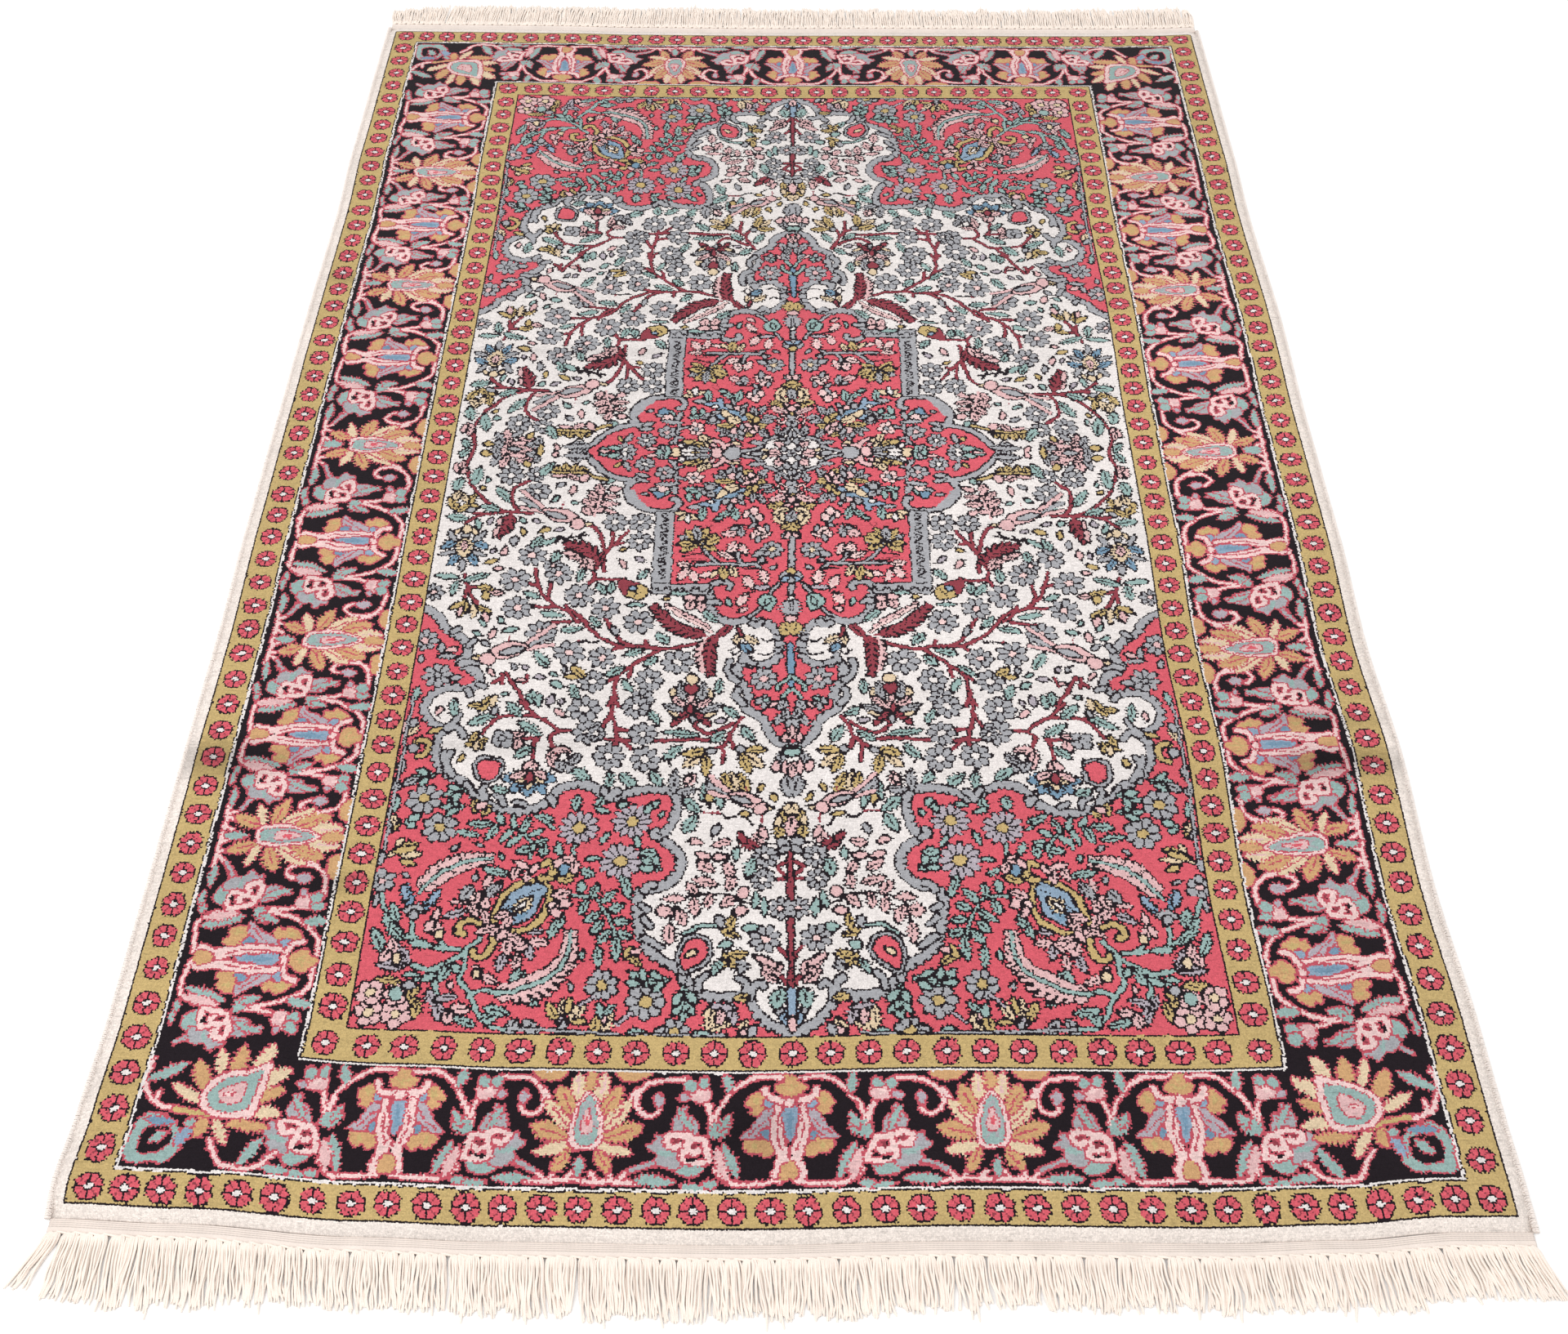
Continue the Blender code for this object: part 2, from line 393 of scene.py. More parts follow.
def leaves(fill, rows, edge=BLACK):
    """Leaves of one yarn: u, v, angle, length, width, and a bend if it has one."""
    for row in rows:
        leaf(*row[:5], fill, edge, bend=row[5] if len(row) > 5 else 0.0)


def disc(u, v, radius, yarn):
    """A round spot, already placed on the chart."""
    knots, across, along = window(u - radius, u + radius, v - radius, v + radius)
    knots[np.hypot(across - u, along - v) < radius] = yarn


def ribbon(width, fill, points, side, pitch=8.0, bump=3.1, rim=1.7):
    """A band with a row of scallops along its left side, or along its right for a side of -1."""
    path = smooth(place(points), False, 8)
    step = np.diff(path, axis=0)
    run = np.concatenate([[0], np.cumsum(np.hypot(step[:, 0], step[:, 1]))])
    at = np.arange(pitch / 2, run[-1], pitch)
    u, v = (np.interp(at, run, path[:, k]) for k in (0, 1))
    ahead_u, ahead_v = (np.interp(at + 1, run, path[:, k]) for k in (0, 1))
    turn = np.arctan2(ahead_v - v, ahead_u - u)
    bumps = list(zip(u - side * np.sin(turn) * width * 0.5, v + side * np.cos(turn) * width * 0.5))
    for spot in bumps:
        disc(*spot, bump + rim, BLACK)
    lines(width, fill, [points], rim=rim)
    for spot in bumps:
        disc(*spot, bump, fill)


# %% Blossoms, fans and plumes
def blossom(u, v, radius, fill=GREY, heart=IVORY, petals=8, turn=0.0, depth=0.3, core=0.26, edge=BLACK):
    """A round flower: petals split by dark lines about a heart."""
    (u, v), = place([(u, v)])
    reach = radius + 2 * RIM
    knots, across, along = window(u - reach, u + reach, v - reach, v + reach)
    if knots.size == 0:
        return
    away = np.hypot(across - u, along - v)
    turned = (np.arctan2(along - v, across - u) - math.radians(turn)) * petals / (2 * math.pi)
    off = np.abs(turned - np.round(turned)) * 2
    rim = radius * (1 - depth * off ** 2)
    gap = away * np.sin((1 - off) * math.pi / petals)
    knots[away < rim + RIM] = edge
    knots[(away < rim) & (gap > 0.8)] = fill
    knots[away < radius * core + RIM * 0.7] = edge
    knots[away < radius * core] = heart


def blossoms(fill, heart, rows, **how):
    for row in rows:
        blossom(row[0], row[1], row[2], fill, heart, turn=row[3] if len(row) > 3 else 0.0, **how)


def fan(u, v, angle, spread, length, width, fills, edge=BLACK):
    """Petals that open from one point, one for each yarn given; the middle ones lie on top."""
    middle = (len(fills) - 1) / 2
    for k in sorted(range(len(fills)), key=lambda k: -abs(k - middle)):
        heading = angle + (k - middle) / max(2 * middle, 1) * spread
        turn = math.radians(heading)
        leaf(u + math.cos(turn) * length * 0.55, v + math.sin(turn) * length * 0.55, heading,
             length, width, fills[k], edge)


def plume(points, fill, rib, length=12, width=5, lean=50, gap=6.5, edge=BLACK, sides=(1, -1)):
    """A feathery leaf: a toothed band of leaflets that lean forward on both sides of a rib."""
    path = smooth(points, False, 8)
    step = np.diff(path, axis=0)
    run = np.concatenate([[0], np.cumsum(np.hypot(step[:, 0], step[:, 1]))])
    leaflets = []
    for at in np.arange(gap * 0.6, run[-1] - 1, gap):
        u, v = (np.interp(at, run, path[:, k]) for k in (0, 1))
        ahead_u, ahead_v = (np.interp(at + 1, run, path[:, k]) for k in (0, 1))
        heading = math.degrees(math.atan2(ahead_v - v, ahead_u - u))
        taper = 0.55 + 0.45 * math.sin(math.pi * min(1, at / run[-1] + 0.15))
        for side in sides:
            turn = math.radians(heading + side * lean)
            size = length * taper
            leaflets.append((u + math.cos(turn) * size * 0.5, v + math.sin(turn) * size * 0.5,
                             heading + side * lean, size, width * (0.6 + 0.4 * taper)))
    for leaflet in leaflets:
        leaf(*leaflet, edge, edge, rim=1.7, teeth=0)
    for k, leaflet in enumerate(leaflets):
        leaf(*leaflet[:4], leaflet[4] * (0.7 if rib == fill else 1.0), fill, None, teeth=0)
        if k % 3 == 0 and rib != fill:
            leaf(*leaflet[:3], leaflet[3] * 0.4, 1.8, edge, None)
    lines(3.0, rib, [points], edge=None if rib == fill else edge, rim=1.1)


# %% Trying a drawing out
def try_out(draw):
    """Draws on empty paper, and says how much of it that takes."""
    fresh_quarter(0)
    hold_pen()
    draw()
    print(draw.__name__, "takes", int((quarter != UNDYED).sum()), "knots")

# %% [markdown]
# ## The grounds of the field
# Three plain grounds lie under everything: red in the corners, an ivory cartouche with scalloped
# ends, and a red medallion in the middle of it. They could be masks in a material, but a designer
# inks their outlines on the squared paper first, so here they are three closed shapes. Each
# outline is drawn for one quarter, with a point only where it turns.

# %% Outlines of the grounds
CARTOUCHE = [(-8, 741), (0, 741), (10, 736), (22, 729), (31, 719), (37, 706), (46, 702), (60, 704),
    (75, 703), (87, 697), (95, 687), (103, 675), (118, 668), (131, 656), (138, 640), (142, 620),
    (143, 605), (137, 596), (122, 592), (112, 584), (104, 568), (107, 552), (118, 541), (128, 536),
    (119, 528), (114, 515), (111, 500), (113, 486), (122, 479), (140, 478), (158, 481), (170, 487),
    (179, 491), (190, 480), (204, 474), (218, 474), (229, 479), (238, 490), (248, 501), (265, 506),
    (285, 504), (300, 498), (314, 488), (322, 477), (335, 470), (347, 461), (354, 449), (358, 435),
    (356, 421), (350, 412), (362, 405), (372, 396), (376, 384), (374, 373), (366, 363), (352, 357),
    (336, 360), (324, 352), (325, 340), (333, 331), (347, 325), (341, 314), (341, 301), (349, 290),
    (360, 281), (370, 274), (376, 262), (386, 253), (400, 246)]
MEDALLION = [(-9, 430), (0, 430), (6, 426), (15, 420), (25, 409), (28, 396), (36, 387), (46, 380),
    (50, 371), (45, 362), (48, 350), (56, 341), (57, 327), (51, 314), (38, 318), (26, 318), (16, 310),
    (13, 297), (14, 283), (20, 268), (32, 260), (45, 258), (60, 262), (72, 259), (83, 251), (88, 240),
    (89, 225), (92, 214)]
SHOULDER = [(142, 97), (152, 96), (166, 94), (178, 86), (187, 73), (189, 60), (184, 48), (200, 43),
    (215, 35), (226, 22), (235, 10), (243, 0), (243, -9)]


def grounds():
    shape([(-9, -9), (400, -9), (400, 750), (-9, 750)], RED, None, corners=True)
    shape(CARTOUCHE + [(400, -9), (-9, -9)], IVORY, None, corners=True)
    shape(MEDALLION + [(92, 214), (142, 214), (142, 97)] + SHOULDER + [(-9, -9)], RED, None, corners=True)

# %% [markdown]
# ## Ribbons
# A grey ribbon with a scalloped side divides the grounds, and throws off short curls. It could be
# one thick line, but on the loom each scallop is a few knots set beyond the line, so a row of discs
# follows the path. The two straight bands at the medallion's shoulder are plain boxes.

# %% Ribbons
def ribbons():
    # the grey ribbon that bounds the ivory ground, with its curls
    ribbon(6.2, GREY, CARTOUCHE, 1)
    lines(6, GREY, [[(37, 706), (36, 696), (30, 691), (25, 694)], [(40, 700), (42, 690), (47, 687)],
        [(137, 596), (134, 590), (128, 589)], [(128, 536), (133, 533), (131, 528)],
        [(179, 491), (176, 486), (171, 483)], [(179, 491), (184, 487), (185, 481)],
        [(238, 490), (234, 492), (233, 498)], [(350, 412), (341, 408), (336, 414), (333, 419)],
        [(352, 410), (343, 402), (342, 394)], [(324, 352), (318, 354)], [(336, 360), (332, 366)],
        [(341, 301), (337, 294)], [(347, 325), (338, 322), (328, 324)], [(360, 281), (356, 277)]])
    lines(5, GREY, [[(322, 478), (312, 490), (302, 497)], [(345, 462), (350, 440)],
        [(300, 494), (306, 484), (303, 478)], [(283, 500), (287, 492), (293, 488)],
        [(262, 500), (270, 496)], [(338, 468), (346, 452), (343, 440)], [(85, 697), (84, 688),
        (78, 682)], [(100, 690), (96, 676)], [(135, 645), (127, 650), (120, 655)],
        [(137, 625), (130, 633)], [(140, 612), (134, 616)]])
    # tear drops of red ringed in grey
    for drop in ([(97, 678), (101, 665), (98, 652), (89, 645), (80, 648), (77, 658), (82, 668),
        (90, 673)], [(294, 449), (311, 449), (312, 464), (306, 470), (297, 468), (293, 460)]):
        lines(9, GREY, [drop + drop[:1]])
        shape(drop, RED)
    # the grey ribbon of the medallion
    ribbon(6.2, GREY, MEDALLION[1:], -1)
    lines(6, GREY, [SHOULDER, [(142, 97), (134, 94), (129, 86), (130, 77), (135, 76)],
        [(92, 214), (86, 206), (76, 202), (67, 206), (68, 212)], [(51, 314), (48, 306), (41, 304)],
        [(38, 318), (46, 314), (48, 309)], [(14, 283), (24, 281), (30, 284)], [(13, 300), (24, 304),
        (34, 305)], [(32, 260), (36, 266), (42, 262)], [(56, 341), (64, 333), (66, 320), (64, 314)],
        [(50, 371), (57, 362), (55, 352)], [(184, 48), (176, 42), (168, 40)], [(189, 52), (180, 47),
        (170, 47)], [(88, 232), (82, 231), (78, 233)]])
    lines(8, GREY, [[(165, 93), (176, 80), (184, 66)]], edge=None)
    # straight patterned bands at the shoulder of the medallion
    for box in ([(133, 97), (152, 97), (152, 207), (133, 207)], [(90, 207), (152, 207), (152, 221),
        (90, 221)]):
        shape(box, GREY, corners=True, rim=2)
    lines(3.2, GREY, [[(134, 99), (134, 206)], [(151, 99), (151, 206)]], edge=None)
    for v in range(106, 208, 17):
        lines(.1, BLACK, [[(139, v - 7), (146, v - 4), (144, v + 1), (138, v + 4), (145, v + 8)]], rim=1)
        leaf(141, v - 1, 60, 5, 3, GREY, rim=1.2)
    for u in range(97, 150, 15):
        lines(.1, BLACK, [[(u - 6, 211), (u - 2, 217), (u + 3, 216), (u + 4, 211), (u + 8, 214)]], rim=1)

# %% [markdown]
# ## Heart of the medallion
# An ivory star marks the middle, and a palmette grows from it along each axis. A palmette is a
# pile of petals, so it is drawn as the designer would ink it: petal by petal, the lower ones first.

# %% Heart of the medallion
def medallion_heart():
    # ivory star in the middle
    star = [(-9, 47), (0, 47), (6, 41), (13, 32), (23, 26), (31, 22), (35, 13), (44, 7), (60, 3),
        (60, -9), (-9, -9)]
    shape(star, IVORY, None, corners=True)
    lines(3.6, GREY, [star[1:-3] + [(60, 3)]])
    leaves(PINK, [(14, 14, 45, 14, 8), (21, 2, 5, 15, 9)])
    leaves(GREY, [(5, 21, 95, 11, 7), (8, 7, 60, 8, 6), (2, 32, 90, 10, 4), (12, 25, 30, 8, 4),
        (40, 1, 0, 12, 4)])
    leaves(CREAM, [(31, 6, 30, 9, 4)])
    blossom(0, 0, 6, GREY, IVORY, 4, turn=45)
    # palmette on the long axis
    lines(5, GREY, [[(0, 185), (0, 122)]])
    leaves(GOLD, [(0, 124, 90, 12, 12), (6, 116, 60, 14, 8), (19, 88, -25, 17, 8), (14, 82, -50, 12, 6),
        (0, 66, 90, 10, 7)])
    leaves(CREAM, [(14, 107, 120, 18, 10), (12, 95, 30, 18, 9), (10, 104, 100, 14, 6)])
    leaves(GREY, [(1, 103, 90, 18, 8), (6, 74, 100, 12, 6), (2, 60, 90, 12, 6), (4, 50, 60, 10, 5)])
    leaves(PINK, [(15, 74, 25, 22, 9), (0, 77, 90, 9, 8), (6, 84, 0, 6, 4)])
    leaves(BLUSH, [(11, 58, 105, 17, 10)])
    leaves(RED, [(11, 58, 105, 7, 3)])
    leaves(GREY, [(16, 39, 82, 17, 7), (7, 132, 60, 10, 5)])
    # palmette on the short axis
    shape([(60, 1), (63, 11), (73, 12), (80, 6), (80, -5), (60, -5)], GREY)
    lines(4.6, PINK, [[(62, 13), (69, 15), (77, 12), (84, 2)], [(79, 9), (82, 17), (90, 22)]])
    leaves(CREAM, [(98, 20, 55, 16, 9), (104, 25, 60, 14, 8), (134, 3, 10, 12, 8), (100, 12, 60, 10, 5)])
    leaves(GOLD, [(113, 16, 25, 20, 9), (122, 17, -10, 13, 7), (107, 9, 15, 14, 5), (111, -1, 0, 16, 5)])
    leaves(GREY, [(103, 5, 5, 24, 7), (118, 8, 8, 18, 6), (127, 13, 40, 8, 4)])
    leaves(IVORY, [(120, 3, 0, 16, 5), (129, 11, 50, 8, 4)])
    leaves(PINK, [(87, 3, 0, 11, 10), (92, 13, 40, 8, 4)])
    leaves(GREY, [(40, 18, 5, 18, 6)])
    leaves(CREAM, [(66, 17, 10, 12, 4)])

# %% [markdown]
# ## Diagonal of the medallion
# A round blossom with a blue heart fills the diagonal, with small flowers on thin stems about it.
# The star and this blossom make the eight-fold figure that the eye sees from the doorway.

# %% Diagonal of the medallion
def medallion_corner():
    # the round blossom on the diagonal
    fan_of = [(26, 62, 190), (30, 55, 185), (35, 74, 115), (45, 72, 80), (36, 40, 215), (34, 33, 230),
        (60, 30, 265), (68, 28, 280), (78, 35, 310), (82, 42, 330), (93, 53, 0)]
    leaves(GREY, [(u, v, a, 16, 7) for u, v, a in fan_of])
    leaves(GOLD, [(37, 46, 160, 16, 9), (53, 32, 200, 18, 7), (50, 62, 70, 18, 8), (77, 47, 5, 24, 7),
        (42, 58, 100, 12, 6)])
    leaves(PINK, [(44, 43, 60, 14, 9), (53, 47, 20, 12, 9), (67, 38, 120, 11, 9), (50, 40, 150, 9, 7)])
    leaves(BLUSH, [(46, 36, 80, 9, 6), (56, 40, 100, 9, 5)])
    leaves(GREY, [(60, 36, 60, 10, 5), (58, 45, 90, 9, 4), (72, 30, 70, 9, 5)])
    lines(6, BLUE, [[(56, 60), (62, 68), (72, 71), (82, 76), (88, 85), (96, 84), (104, 86)],
        [(82, 60), (88, 66), (86, 76)], [(86, 84), (87, 92)]])
    leaves(SKY, [(66, 70, 35, 12, 4)], edge=None)
    shape([(70, 62), (79, 72), (86, 74), (83, 66), (77, 60)], CREAM)
    leaves(CREAM, [(68, 57, 20, 16, 12)])
    leaves(IVORY, [(92, 80, 0, 7, 5)])
    leaves(PINK, [(65, 78, 30, 8, 7)])
    leaves(GREY, [(57, 80, 120, 12, 5), (58, 72, 100, 12, 5), (75, 80, 60, 10, 6), (93, 68, 150, 14, 7),
        (94, 57, 120, 9, 8)])
    leaves(TEAL, [(64, 99, 100, 20, 9), (77, 101, 50, 26, 7), (101, 99, 88, 21, 8), (83, 107, 20, 9, 4)])
    leaves(GREY, [(110, 89, 0, 15, 6), (70, 88, 70, 12, 4)])
    leaves(TEAL, [(106, 70, 80, 12, 6), (113, 61, -10, 19, 8), (117, 72, 95, 15, 6)])
    leaves(GREY, [(103, 61, 160, 10, 5), (100, 66, 120, 8, 4)])
    # small round flowers
    blossom(112, 41, 10, BLUSH, GREY, 6, turn=10)
    leaves(BLUSH, [(38, 104, 100, 13, 9), (50, 100, 70, 12, 8), (43, 95, 80, 13, 9)])
    leaves(PINK, [(36, 106, 100, 6, 4), (44, 97, 80, 8, 4)], edge=None)
    lines(2.6, GREY, [[(40, 116), (43, 111), (46, 104)]])
    fan(117, 100, 70, 150, 13, 6, [CREAM, CREAM, IVORY, CREAM])
    # stems over the red
    lines(2.6, GREY, [[(132, 50), (133, 38), (135, 25), (136, 15)], [(133, 40), (122, 44)],
        [(135, 26), (127, 24)], [(135, 22), (141, 14)]])
    blossom(146, 34, 11, GREY, PINK, 6, turn=20)
    shape([(143, 0), (144, 9), (150, 12), (156, 9), (157, -4), (143, -4)], TEAL)
    leaves(GREY, [(150, 7, 80, 10, 3)])
    shape([(143, 66), (152, 76), (157, 71), (158, 64)], SKY)
    shape([(139, 62), (151, 64), (154, 57), (146, 54)], BLUSH)
    leaves(GREY, [(134, 61, 110, 17, 6), (142, 52, 5, 26, 5), (158, 62, 20, 9, 4),
        (170, 47, -20, 14, 6), (171, 39, -15, 14, 6)])
    lines(2.6, TEAL, [[(140, 64), (144, 69)]])
    blossoms(GREY, IVORY, [(170, 20, 11, 20), (194, 3, 12)], petals=8)
    leaves(GREY, [(191, 24, 115, 14, 6)])
    leaves(GOLD, [(201, 22, 60, 9, 4)])
    leaves(TEAL, [(207, 6, 10, 15, 6), (219, 4, 0, 9, 4)])
    leaves(PINK, [(163, 6, 0, 12, 4), (218, 0, 0, 12, 4)])

# %% [markdown]
# ## Ends of the medallion
# Towards the ends the medallion narrows to a neck with a pendant beyond it. Stems cross the red
# there, with paired leaves that repeat the curve of the outline.

# %% Ends of the medallion
def medallion_end():
    lines(3, GREY, [[(30, 172), (42, 176), (60, 177), (80, 176), (104, 177)],
        [(78, 176), (88, 168), (95, 159), (103, 146)], [(53, 176), (59, 168), (60, 160)],
        [(42, 176), (36, 182)]])
    leaves(BLUSH, [(118, 177, -5, 16, 7)])
    blossom(22, 155, 12, GREY, CREAM, 8)
    leaves(GREY, [(37, 161, 25, 13, 7), (34, 171, 60, 8, 5)])
    leaves(BLUSH, [(54, 154, 115, 17, 8), (66, 152, 75, 16, 9), (73, 163, 155, 18, 8)])
    leaves(PINK, [(54, 152, 115, 9, 4), (67, 149, 75, 8, 4)], edge=None)
    fan(104, 144, 275, 250, 22, 8, [GOLD, GREY, GOLD, GOLD, GREY, GOLD, GREY, GOLD, GOLD])
    leaves(GOLD, [(88, 141, 30, 18, 11), (118, 146, 0, 14, 8)])
    leaves(PINK, [(69, 130, 20, 15, 10)])
    leaves(GREY, [(57, 127, 90, 16, 8), (64, 122, 10, 8, 4)])
    lines(.6, BLACK, [[(45, 118), (60, 117), (72, 120)], [(110, 172), (95, 172)],
        [(100, 160), (120, 165)]], rim=.9)
    lines(1.2, MAROON, [[(88, 116), (92, 120), (96, 117), (93, 112), (87, 112)],
        [(100, 169), (118, 168)], [(98, 163), (118, 160)]], edge=None)
    leaves(BLUSH, [(30, 131, 20, 15, 9), (40, 130, 60, 15, 8), (33, 124, 150, 14, 6)])
    leaves(GREY, [(37, 138, 80, 11, 5), (28, 121, 100, 9, 4), (44, 118, 45, 8, 4)])
    leaves(PINK, [(4, 133, 60, 9, 5)])
    # towards the lobes
    leaves(BLUSH, [(30, 195, 105, 20, 9), (47, 203, 115, 20, 9), (107, 194, 110, 19, 8),
        (119, 191, 60, 20, 9), (52, 227, 60, 20, 9), (93, 192, 20, 15, 6)])
    leaves(PINK, [(31, 193, 105, 11, 4), (48, 201, 115, 11, 4), (107, 193, 110, 10, 4),
        (119, 190, 60, 11, 4), (52, 226, 60, 11, 4)], edge=None)
    leaves(CREAM, [(64, 187, 110, 16, 7), (84, 191, 50, 14, 5)])
    leaves(GOLD, [(75, 190, 95, 19, 9)])
    lines(2.6, GREY, [[(33, 240), (38, 246), (46, 253)], [(14, 205), (20, 215), (26, 222)]])
    lines(.6, BLACK, [[(20, 212), (40, 216), (52, 222)], [(36, 183), (52, 183)]], rim=.9)
    leaves(LILAC, [(32, 210, 0, 19, 5)])
    shape([(17, 228), (20, 238), (25, 244), (30, 238), (36, 233), (32, 222), (22, 221)], TEAL)
    leaves(TEAL, [(25, 231, 70, 10, 4)])
    lines(4, GREY, [[(0, 226), (0, 186)]])
    leaves(GREY, [(2, 240, 90, 24, 16), (0, 198, 90, 9, 12), (8, 192, 60, 12, 6)])
    leaves(BLUE, [(6, 198, 40, 9, 5)])
    leaves(GOLD, [(0, 186, 90, 8, 8), (5, 270, 95, 18, 14)])
    leaves(IVORY, [(0, 226, 90, 6, 5)])
    leaves(PINK, [(1, 256, 90, 8, 12)])
    # the neck and the pendant
    lines(5, SKY, [[(0, 345), (1, 320), (0, 292)]])
    lines(3.4, TEAL, [[(2, 352), (9, 362)], [(2, 335), (12, 345), (14, 352)]])
    blossom(29, 338, 14, GREY, PINK, 8, turn=22, depth=.3)
    leaves(GREY, [(26, 366, 110, 13, 7), (34, 367, 60, 10, 5), (10, 372, 60, 15, 8), (29, 374, 90, 9, 5)])
    leaves(PINK, [(18, 372, 45, 10, 4), (2, 408, 80, 22, 7), (7, 415, 90, 12, 4)])
    leaves(TEAL, [(3, 428, 0, 9, 4), (26, 366, 30, 7, 4)])
    leaves(GREY, [(12, 391, 60, 20, 8), (5, 384, 100, 15, 7), (3, 396, 70, 12, 6)])

# %% [markdown]
# ## Pockets beside the neck
# Where the neck narrows, two small ivory pockets reach into the red, each with a leaf or two.

# %% Pockets beside the neck
def pockets():
    # the two ivory pockets beside the neck
    shape([(18, 300), (22, 309), (34, 312), (44, 306), (52, 300), (60, 304), (64, 290), (56, 272),
        (48, 266), (40, 270), (28, 268), (20, 278)], IVORY, None)
    lines(.6, BLACK, [[(16, 300), (24, 306), (34, 304)], [(18, 284), (26, 288), (31, 284)],
        [(56, 302), (66, 300)]], rim=.9)
    leaves(SKY, [(47, 297, -40, 14, 9)])
    leaves(CREAM, [(43, 285, -35, 19, 7), (57, 284, 80, 14, 7)])
    lines(2.2, MAROON, [[(53, 280), (56, 270)]])
    leaves(IVORY, [(58, 300, 80, 9, 6)])

# %% [markdown]
# ## Branches on the ivory
# Maroon branches spread over the ivory ground and carry all its flowers. Every branch is one
# stroke through a few points. All strokes of a yarn are laid in one call: the outlines go first
# and the fills after them, so that a twig joins its branch without a line across the joint.

# %% Branches on the ivory
def branches():
    lines(3.4, MAROON, [[(206, 190), (207, 165), (209, 150), (217, 128), (229, 118), (242, 110)],
        [(187, 148), (197, 150), (206, 163)], [(203, 160), (200, 145), (201, 126)],
        [(204, 158), (192, 142), (182, 128)], [(293, 104), (308, 103), (325, 101), (340, 93), (352, 80),
        (364, 64), (372, 46), (376, 26), (370, 4), (372, -8)], [(308, 103), (316, 86), (317, 66),
        (308, 56), (300, 49)], [(320, 103), (340, 106), (352, 110), (366, 122)],
        [(316, 103), (322, 118), (328, 130)], [(345, 107), (358, 106)], [(63, 268), (72, 278),
        (90, 286), (112, 295), (135, 299), (160, 296), (180, 297), (192, 303)],
        [(118, 297), (120, 309)], [(140, 300), (155, 312), (166, 322), (169, 338)],
        [(142, 301), (150, 308), (147, 306)], [(166, 322), (178, 332), (183, 346), (184, 362),
        (178, 376)], [(183, 338), (193, 345)], [(183, 360), (189, 375)], [(160, 297), (176, 292),
        (188, 280), (194, 268), (199, 258)], [(152, 298), (153, 288)], [(196, 288), (206, 282),
        (218, 268), (228, 254), (240, 244)], [(196, 289), (180, 296)], [(240, 248), (252, 243),
        (262, 234), (272, 222), (278, 205), (281, 188)], [(262, 234), (263, 220), (262, 208)],
        [(255, 242), (270, 243), (287, 239)], [(236, 262), (250, 264), (262, 265)],
        [(228, 262), (238, 252), (244, 240)], [(277, 212), (290, 208)], [(183, 200), (198, 202),
        (214, 202), (222, 212)], [(214, 202), (216, 190), (212, 180)], [(358, 198), (353, 214),
        (346, 232), (340, 240)], [(352, 216), (354, 232)], [(352, 217), (336, 219)],
        [(272, 375), (282, 362), (290, 350), (298, 336)], [(300, 350), (302, 338)],
        [(310, 350), (301, 342)], [(275, 338), (278, 348), (286, 345)], [(50, 388), (58, 402),
        (62, 416), (58, 428)], [(62, 414), (69, 425), (69, 446)], [(68, 424), (80, 430)],
        [(60, 396), (74, 406), (88, 410), (98, 403), (103, 394)], [(82, 418), (110, 419), (140, 421),
        (165, 420), (192, 419)], [(178, 428), (179, 410), (184, 390), (185, 370)],
        [(162, 431), (170, 422), (177, 418)], [(185, 385), (192, 402), (194, 412)],
        [(166, 408), (178, 407)], [(225, 409), (236, 410), (245, 417), (241, 430), (238, 442)],
        [(236, 410), (250, 398), (262, 391), (284, 391), (298, 394), (308, 406), (314, 416)],
        [(262, 391), (272, 380), (280, 372)], [(254, 416), (260, 425), (261, 444)],
        [(256, 420), (272, 420)], [(298, 394), (305, 388)], [(2, 560), (12, 568), (1, 580), (13, 581)],
        [(2, 668), (8, 658), (12, 652)], [(4, 692), (8, 684)], ], edge=BLACK, rim=1.1)
    lines(3.6, MAROON, [[(0, 552), (0, 700)]])
    lines(.8, BLACK, [[(48, 606), (62, 598), (86, 598), (102, 604), (110, 614), (113, 634)],
        [(36, 608), (48, 606)], [(55, 510), (64, 511), (72, 506), (92, 505)], [(4, 543), (22, 540)],
        [(225, 290), (205, 290)], [(225, 290), (230, 296)]], rim=1)
    lines(2.4, MAROON, [[(72, 505), (92, 505)], [(28, 508), (28, 516)], [(226, 288), (232, 296)]],
        edge=None)
